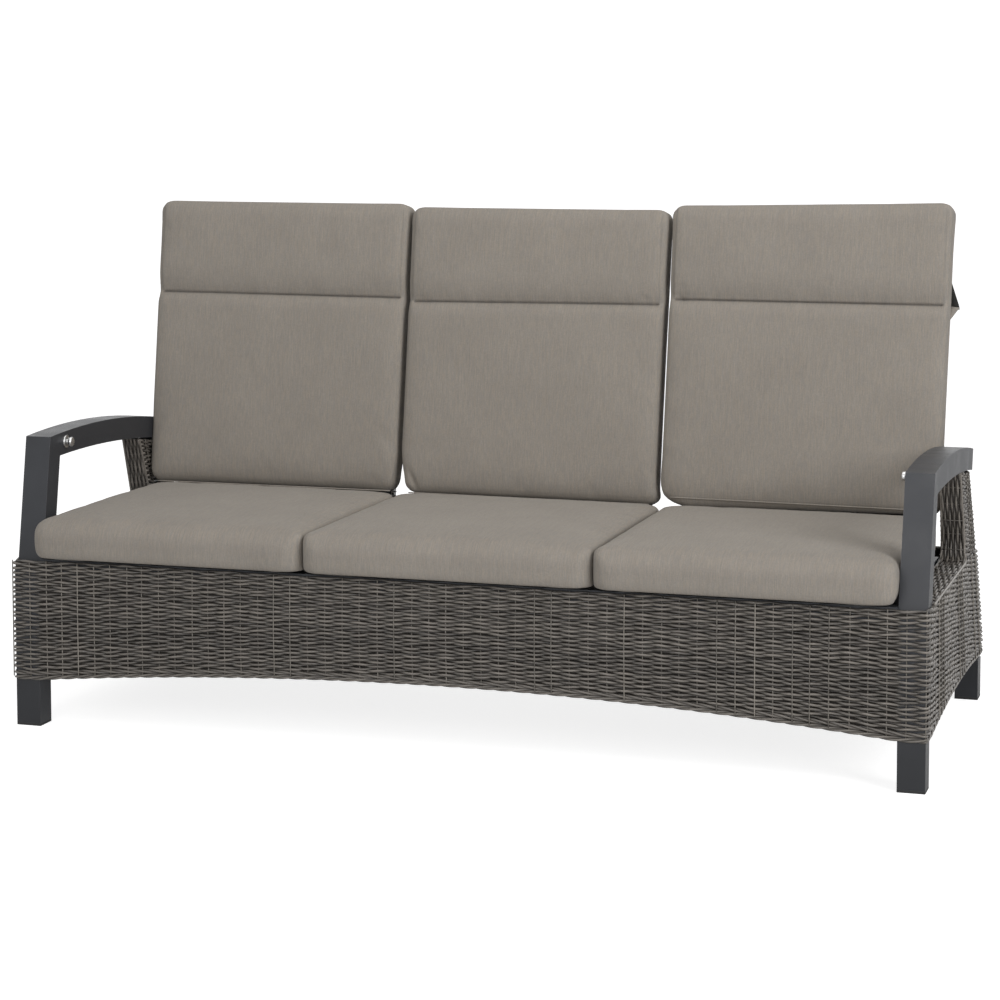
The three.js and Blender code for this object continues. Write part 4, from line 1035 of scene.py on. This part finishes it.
for back, (body, middle) in BACKS.items():
    (top_l, top_r), (seam_l, seam_r), (foot_l, foot_r), (edge_l, edge_r), tucks, lift = BACK_SHAPES[back]
    half = (edge_r - edge_l) / 2
    low, high = (foot_l + foot_r) / 2, (top_l + top_r) / 2
    seam = (seam_l + seam_r) / 2
    corners = (-half, BACK_FRONT, low), (half, BACK_REAR, high)
    points, faces = rounded_block(*corners, 1, BACK_CORNER, back_edge, (60, 12, 64))
    in_x = swell(points[:, 0], -half, half)
    pad_low = points[:, 2] < seam
    in_pad = np.where(pad_low, swell(points[:, 2], low, seam), swell(points[:, 2], seam, high))
    front = points[:, 1] < (BACK_FRONT + BACK_REAR) / 2
    from_seam = points[:, 2] - seam
    depth, above, below = SEAM_ROLL
    fall = depth * np.clip(1 - np.abs(from_seam) / np.where(from_seam > 0, above, below), 0, 1) ** 2
    fall += FOOT_ROLL[0] * np.clip(1 - (points[:, 2] - low) / FOOT_ROLL[1], 0, 1) ** 2
    points[:, 1] += np.where(front, fall - BACK_CROWN * in_x**0.4 * in_pad**0.45, 0)
    near = smooth(np.abs(points[:, 0]), half - BACK_CORNER, half)
    in_y = swell(points[:, 1], BACK_FRONT, BACK_REAR)
    points[:, 0] -= np.sign(points[:, 0]) * near * (1 - in_y) * in_pad
    # tilt of the top, the seam and the foot
    share = (points[:, 0] + half) / (2 * half) - 0.5
    slope = np.interp(points[:, 2], (low, seam, high), (foot_r - foot_l, seam_r - seam_l, top_r - top_l))
    points[:, 2] += share * slope
    in_corner = (1 - smooth(points[:, 0], -half, 60 - half)) * (1 - smooth(points[:, 2], low, low + 70))
    points[:, 2] += lift * in_corner
    for end, (tuck, over) in zip((-1, 1), tucks):
        at_foot = 1 - smooth(points[:, 2], low, low + over)
        points[:, 0] -= end * tuck * at_foot * smooth(end * points[:, 0], 0, half)
    fit = span(points[:, 0]), (BACK_FRONT - BACK_CROWN, BACK_REAR), span(points[:, 2])
    piece = filled(f"back_{back}_cushion", points, faces, fit)
    place = read(piece) / MM
    share = np.clip(place[:, 0] / half, -1, 1)
    seam_here = seam + share * (seam_r - seam_l) / 2
    face = smooth(-place[:, 1], 40, 75)
    place[:, 2] += face * (drawn_to(place[:, 2], seam_here, 10) - place[:, 2])
    gap = place[:, 2] - seam_here
    side_line = half - BOXING
    side = np.sign(place[:, 0]) * drawn_to(np.abs(place[:, 0]), side_line, 8)
    above = smooth(gap, -2, 6) * (1 - smooth(place[:, 2], high - 16, high - 6))
    place[:, 0] += face * above * (side - place[:, 0])
    across = 1 - smooth(np.abs(place[:, 0]), side_line - 6, side_line + 2)
    crease = face * across * np.exp(-((gap / CREASE[1]) ** 2))
    boxing = face * above * np.exp(-(((np.abs(place[:, 0]) - side_line) / SEAM_HALF) ** 2))
    place[:, 1] += CREASE[0] * crease + 0.8 * boxing + face * across * 3.0 * np.exp(-((gap / 9) ** 2))
    puckers = wrinkles(place, (0.10, 0.01, 0.02), 7 + len(back))
    place[:, 1] += face * 0.9 * puckers * np.exp(-((gap / 26) ** 2))
    for start, end, depth in FOLDS[back]:
        place[:, 1] += face * depth * ridge(place[:, (0, 2)], start, end)
    place[:, 0] += (edge_l + edge_r) / 2
    write(piece, set_down(leaned(place, middle)))
    dress(piece, body, f"back_cushion_{back}", np.clip(0.8 * crease + 0.3 * boxing, 0, 1))
    # the piping along the foot of the front
    x = np.linspace(edge_l + 26, edge_r - 12, PIPING_STEPS)
    z = np.linspace(foot_l, foot_r, PIPING_STEPS) + np.linspace(*PIPING_RISE[back], PIPING_STEPS)
    path = stacked(x, PIPING_FRONT, z)[None]
    forward = np.broadcast_to((0, -1.0, 0), path.shape)
    piping = Tubes()
    piping.add(path, forward, PIPING, 6, np.ones(1), np.ones((1, PIPING_STEPS)), False)
    piping.piece(f"piping_{back}", "cushion_cloth", body, turn=leaning(middle))


# Hoods: the dark cloth pocket of each headrest, slipped over the top of the woven panel
HOOD_HALF = 282
HOOD_FOOT = 491
HOOD_TOP = 658.5
HOOD_FRONT = -16.4
HOOD_REAR = 18.6
HOOD_CLOTH_THICK = 1.3
HOOD_FLARE = 94  # height over which the outer corner spreads
HOOD_SPREAD = 34  # how far it spreads
HOOD_BEND = 10
HOOD_STEPS = (26, 57)  # down and across
WRAP = 20  # how far the sides turn forward, in full at WRAP_FROM below the top
WRAP_FROM = 30
RIPPLE = (1.0, 31.0, 1.3)  # height, width per radian and shift of the rear's soft waves
HOOD_LENGTH = HOOD_TOP - HOOD_FOOT + HOOD_REAR - HOOD_FRONT
# Gussets, in the right back's places: the corners of their inner and outer edge, from the top down
GUSSET_INNER = ((296, -19, 492), (299, -24, 463))
GUSSET_OUTER = ((HOOD_HALF + HOOD_SPREAD, HOOD_FRONT + 14, HOOD_FOOT), (300, -23, 463))
GUSSET_STEPS = 5
GUSSET_THICK = 1.2


def hood_points(outward):
    """A grid over the panel's top and down its rear, with a flared outer corner at its foot."""
    rows, columns = HOOD_STEPS
    run, share = np.meshgrid(np.linspace(0, 1, rows), np.linspace(-1, 1, columns), indexing="ij")
    flat = HOOD_REAR - HOOD_FRONT - HOOD_BEND
    path = run * HOOD_LENGTH
    angle = np.clip(path - flat, 0, HOOD_BEND * math.pi / 2) / HOOD_BEND
    y = HOOD_FRONT + np.minimum(path, flat) + HOOD_BEND * np.sin(angle)
    z = HOOD_TOP - HOOD_BEND * (1 - np.cos(angle)) - np.maximum(0, path - flat - HOOD_BEND * math.pi / 2)
    flare = HOOD_SPREAD * np.clip((HOOD_FOOT + HOOD_FLARE - z) / HOOD_FLARE, 0, 1)
    x = share * (HOOD_HALF + np.where(share * outward > 0, flare, 0))
    # the pocket's sides turn forward round the panel's edges
    edge = np.clip((np.abs(x) - (PANEL_HALF + 4)) / (HOOD_HALF - PANEL_HALF - 4), 0, 1)
    y = y - WRAP * smooth(np.maximum(HOOD_TOP - z, 0), 0, WRAP_FROM) * edge**2
    ripple, width, shift = RIPPLE
    y = y + ripple * np.sin(x / width + shift * outward) * smooth(HOOD_TOP - z, 20, 140)
    return stacked(x, y, z)


for back, (body, middle) in BACKS.items():
    outward = (middle > 0) - (middle < 0)
    grid = hood_points(outward)
    normal = np.cross(np.gradient(grid, axis=1), np.gradient(grid, axis=0))
    normal /= np.linalg.norm(normal, axis=-1, keepdims=True)
    points, faces = sheet_grid(grid, grid + normal * HOOD_CLOTH_THICK, False)
    piece = mesh_piece(f"hood_{back}", set_down(leaned(points, middle)), faces, "hood_cloth", body)
    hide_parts(f"headrest_hood_{back}")
    if not outward:
        continue
    # the gusset between the pocket's flared corner and the cushion's side
    inner, outer = np.linspace(*GUSSET_INNER, GUSSET_STEPS), np.linspace(*GUSSET_OUTER, GUSSET_STEPS)
    grid = np.stack([inner, (inner + outer) / 2, outer], axis=1) * (outward, 1, 1)
    points, faces = sheet_grid(grid, grid + (0, GUSSET_THICK, 0), False)
    if outward > 0:
        faces = [face[::-1] for face in faces]
    points = set_down(leaned(points, middle))
    gusset = mesh_piece(f"gusset_{back}", points, faces, "cushion_cloth", body)


# Floor, backdrop, light and camera, in metres
STUDIO_HALF = 14.0
FLOOR_FROM, FLOOR_TO = -9.0, 4.0
CURVE = 3.0  # radius between floor and backdrop
BACKDROP_TOP = 9.0
GLOW = 0.8  # brings the floor and backdrop to white where the camera sees them
FLOOR_IN_GLOSS = 0.3  # share of that white that the floor shows in gloss; the wall shows all of it
SKY_LIGHT = 0.38  # what the world gives the object; rays from the camera and in gloss see it white


def seen_rays(tree, glossy_share=None):
    """1 for the camera's rays and for those through glass, and the share, or 1, for those in gloss."""
    rays = add(tree, "ShaderNodeLightPath").outputs
    glossy = rays["Is Glossy Ray"]
    if glossy_share is not None:
        glossy = maths(tree, "MULTIPLY", glossy, glossy_share)
    seen = maths(tree, "MAXIMUM", rays["Is Camera Ray"], glossy)
    return maths(tree, "MAXIMUM", seen, rays["Is Transmission Ray"])


tree = graph("studio_floor")
at = object_place(tree)
height = add(tree, "ShaderNodeSeparateXYZ", Vector=at).outputs["Z"]
glow = maths(tree, "MULTIPLY", seen_rays(tree, ramp(tree, height, (0.02, FLOOR_IN_GLOSS), (0.4, 1))), GLOW)
principled(
    tree,
    Base_Color=ramp(tree, noise(tree, at, 0.8), (0.3, 0.7), (0.7, 0.71)),
    Emission_Color=(1, 1, 1),
    Emission_Strength=glow,
    Roughness=0.9,
    Specular_IOR_Level=0.1,
)
profile = [(FLOOR_FROM, 0.0), (FLOOR_TO, 0.0)]
profile += [
    (FLOOR_TO + CURVE * math.sin(a), CURVE - CURVE * math.cos(a)) for a in np.linspace(0.1, math.pi / 2, 14)
]
profile += [(FLOOR_TO + CURVE, BACKDROP_TOP)]
points = [(x, y, z) for y, z in profile for x in (-STUDIO_HALF, STUDIO_HALF)]
faces = [(2 * i, 2 * i + 1, 2 * i + 3, 2 * i + 2) for i in range(len(profile) - 1)]
new_object("studio", points, faces, "studio_floor")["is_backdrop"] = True


def lamp(name, place, target, size, power, tint=(1, 1, 1)):
    light = bpy.data.lights.new(name, "AREA")
    light.shape = "RECTANGLE"
    light.size, light.size_y = size
    light.energy = power
    light.color = tint
    piece = in_scene(name, light)
    piece.location = place
    piece.rotation_euler = (Vector(target) - Vector(place)).to_track_quat("-Z", "Y").to_euler()


lamp("key", (5.2, -3.2, 2.8), target=(0.2, 0, 0.5), size=(2.8, 2.8), power=172)
lamp("front", (-0.2, -4.9, 1.9), target=(-0.1, 0, 0.5), size=(2.4, 1.8), power=47)
lamp("top", (0.3, -0.4, 3.6), target=(0, 0.1, 0.4), size=(3.0, 2.4), power=30, tint=(1, 0.97, 0.91))

scene.world = bpy.data.worlds.new("studio_light")
tree = cleared(scene.world)
strength = maths(tree, "MULTIPLY_ADD", seen_rays(tree), 1 - SKY_LIGHT, SKY_LIGHT)
background = add(tree, "ShaderNodeBackground", Color=(1, 1, 1), Strength=strength)
add(tree, "ShaderNodeOutputWorld", Surface=background.outputs["Background"])

camera_data = bpy.data.cameras.new("photo_camera")
camera_data.lens = 92.88
camera_data.sensor_width = 36
camera_data.sensor_fit = "HORIZONTAL"
camera_data.clip_end = 100
scene.camera = in_scene("photo_camera", camera_data)
scene.camera.location = (1.6031, -5.25095, 1.3029)
scene.camera.rotation_euler = (math.radians(90 - 8.67), 0, math.radians(17.16))
scene.view_settings.view_transform = "Standard"

bpy.context.view_layer.update()
low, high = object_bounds()
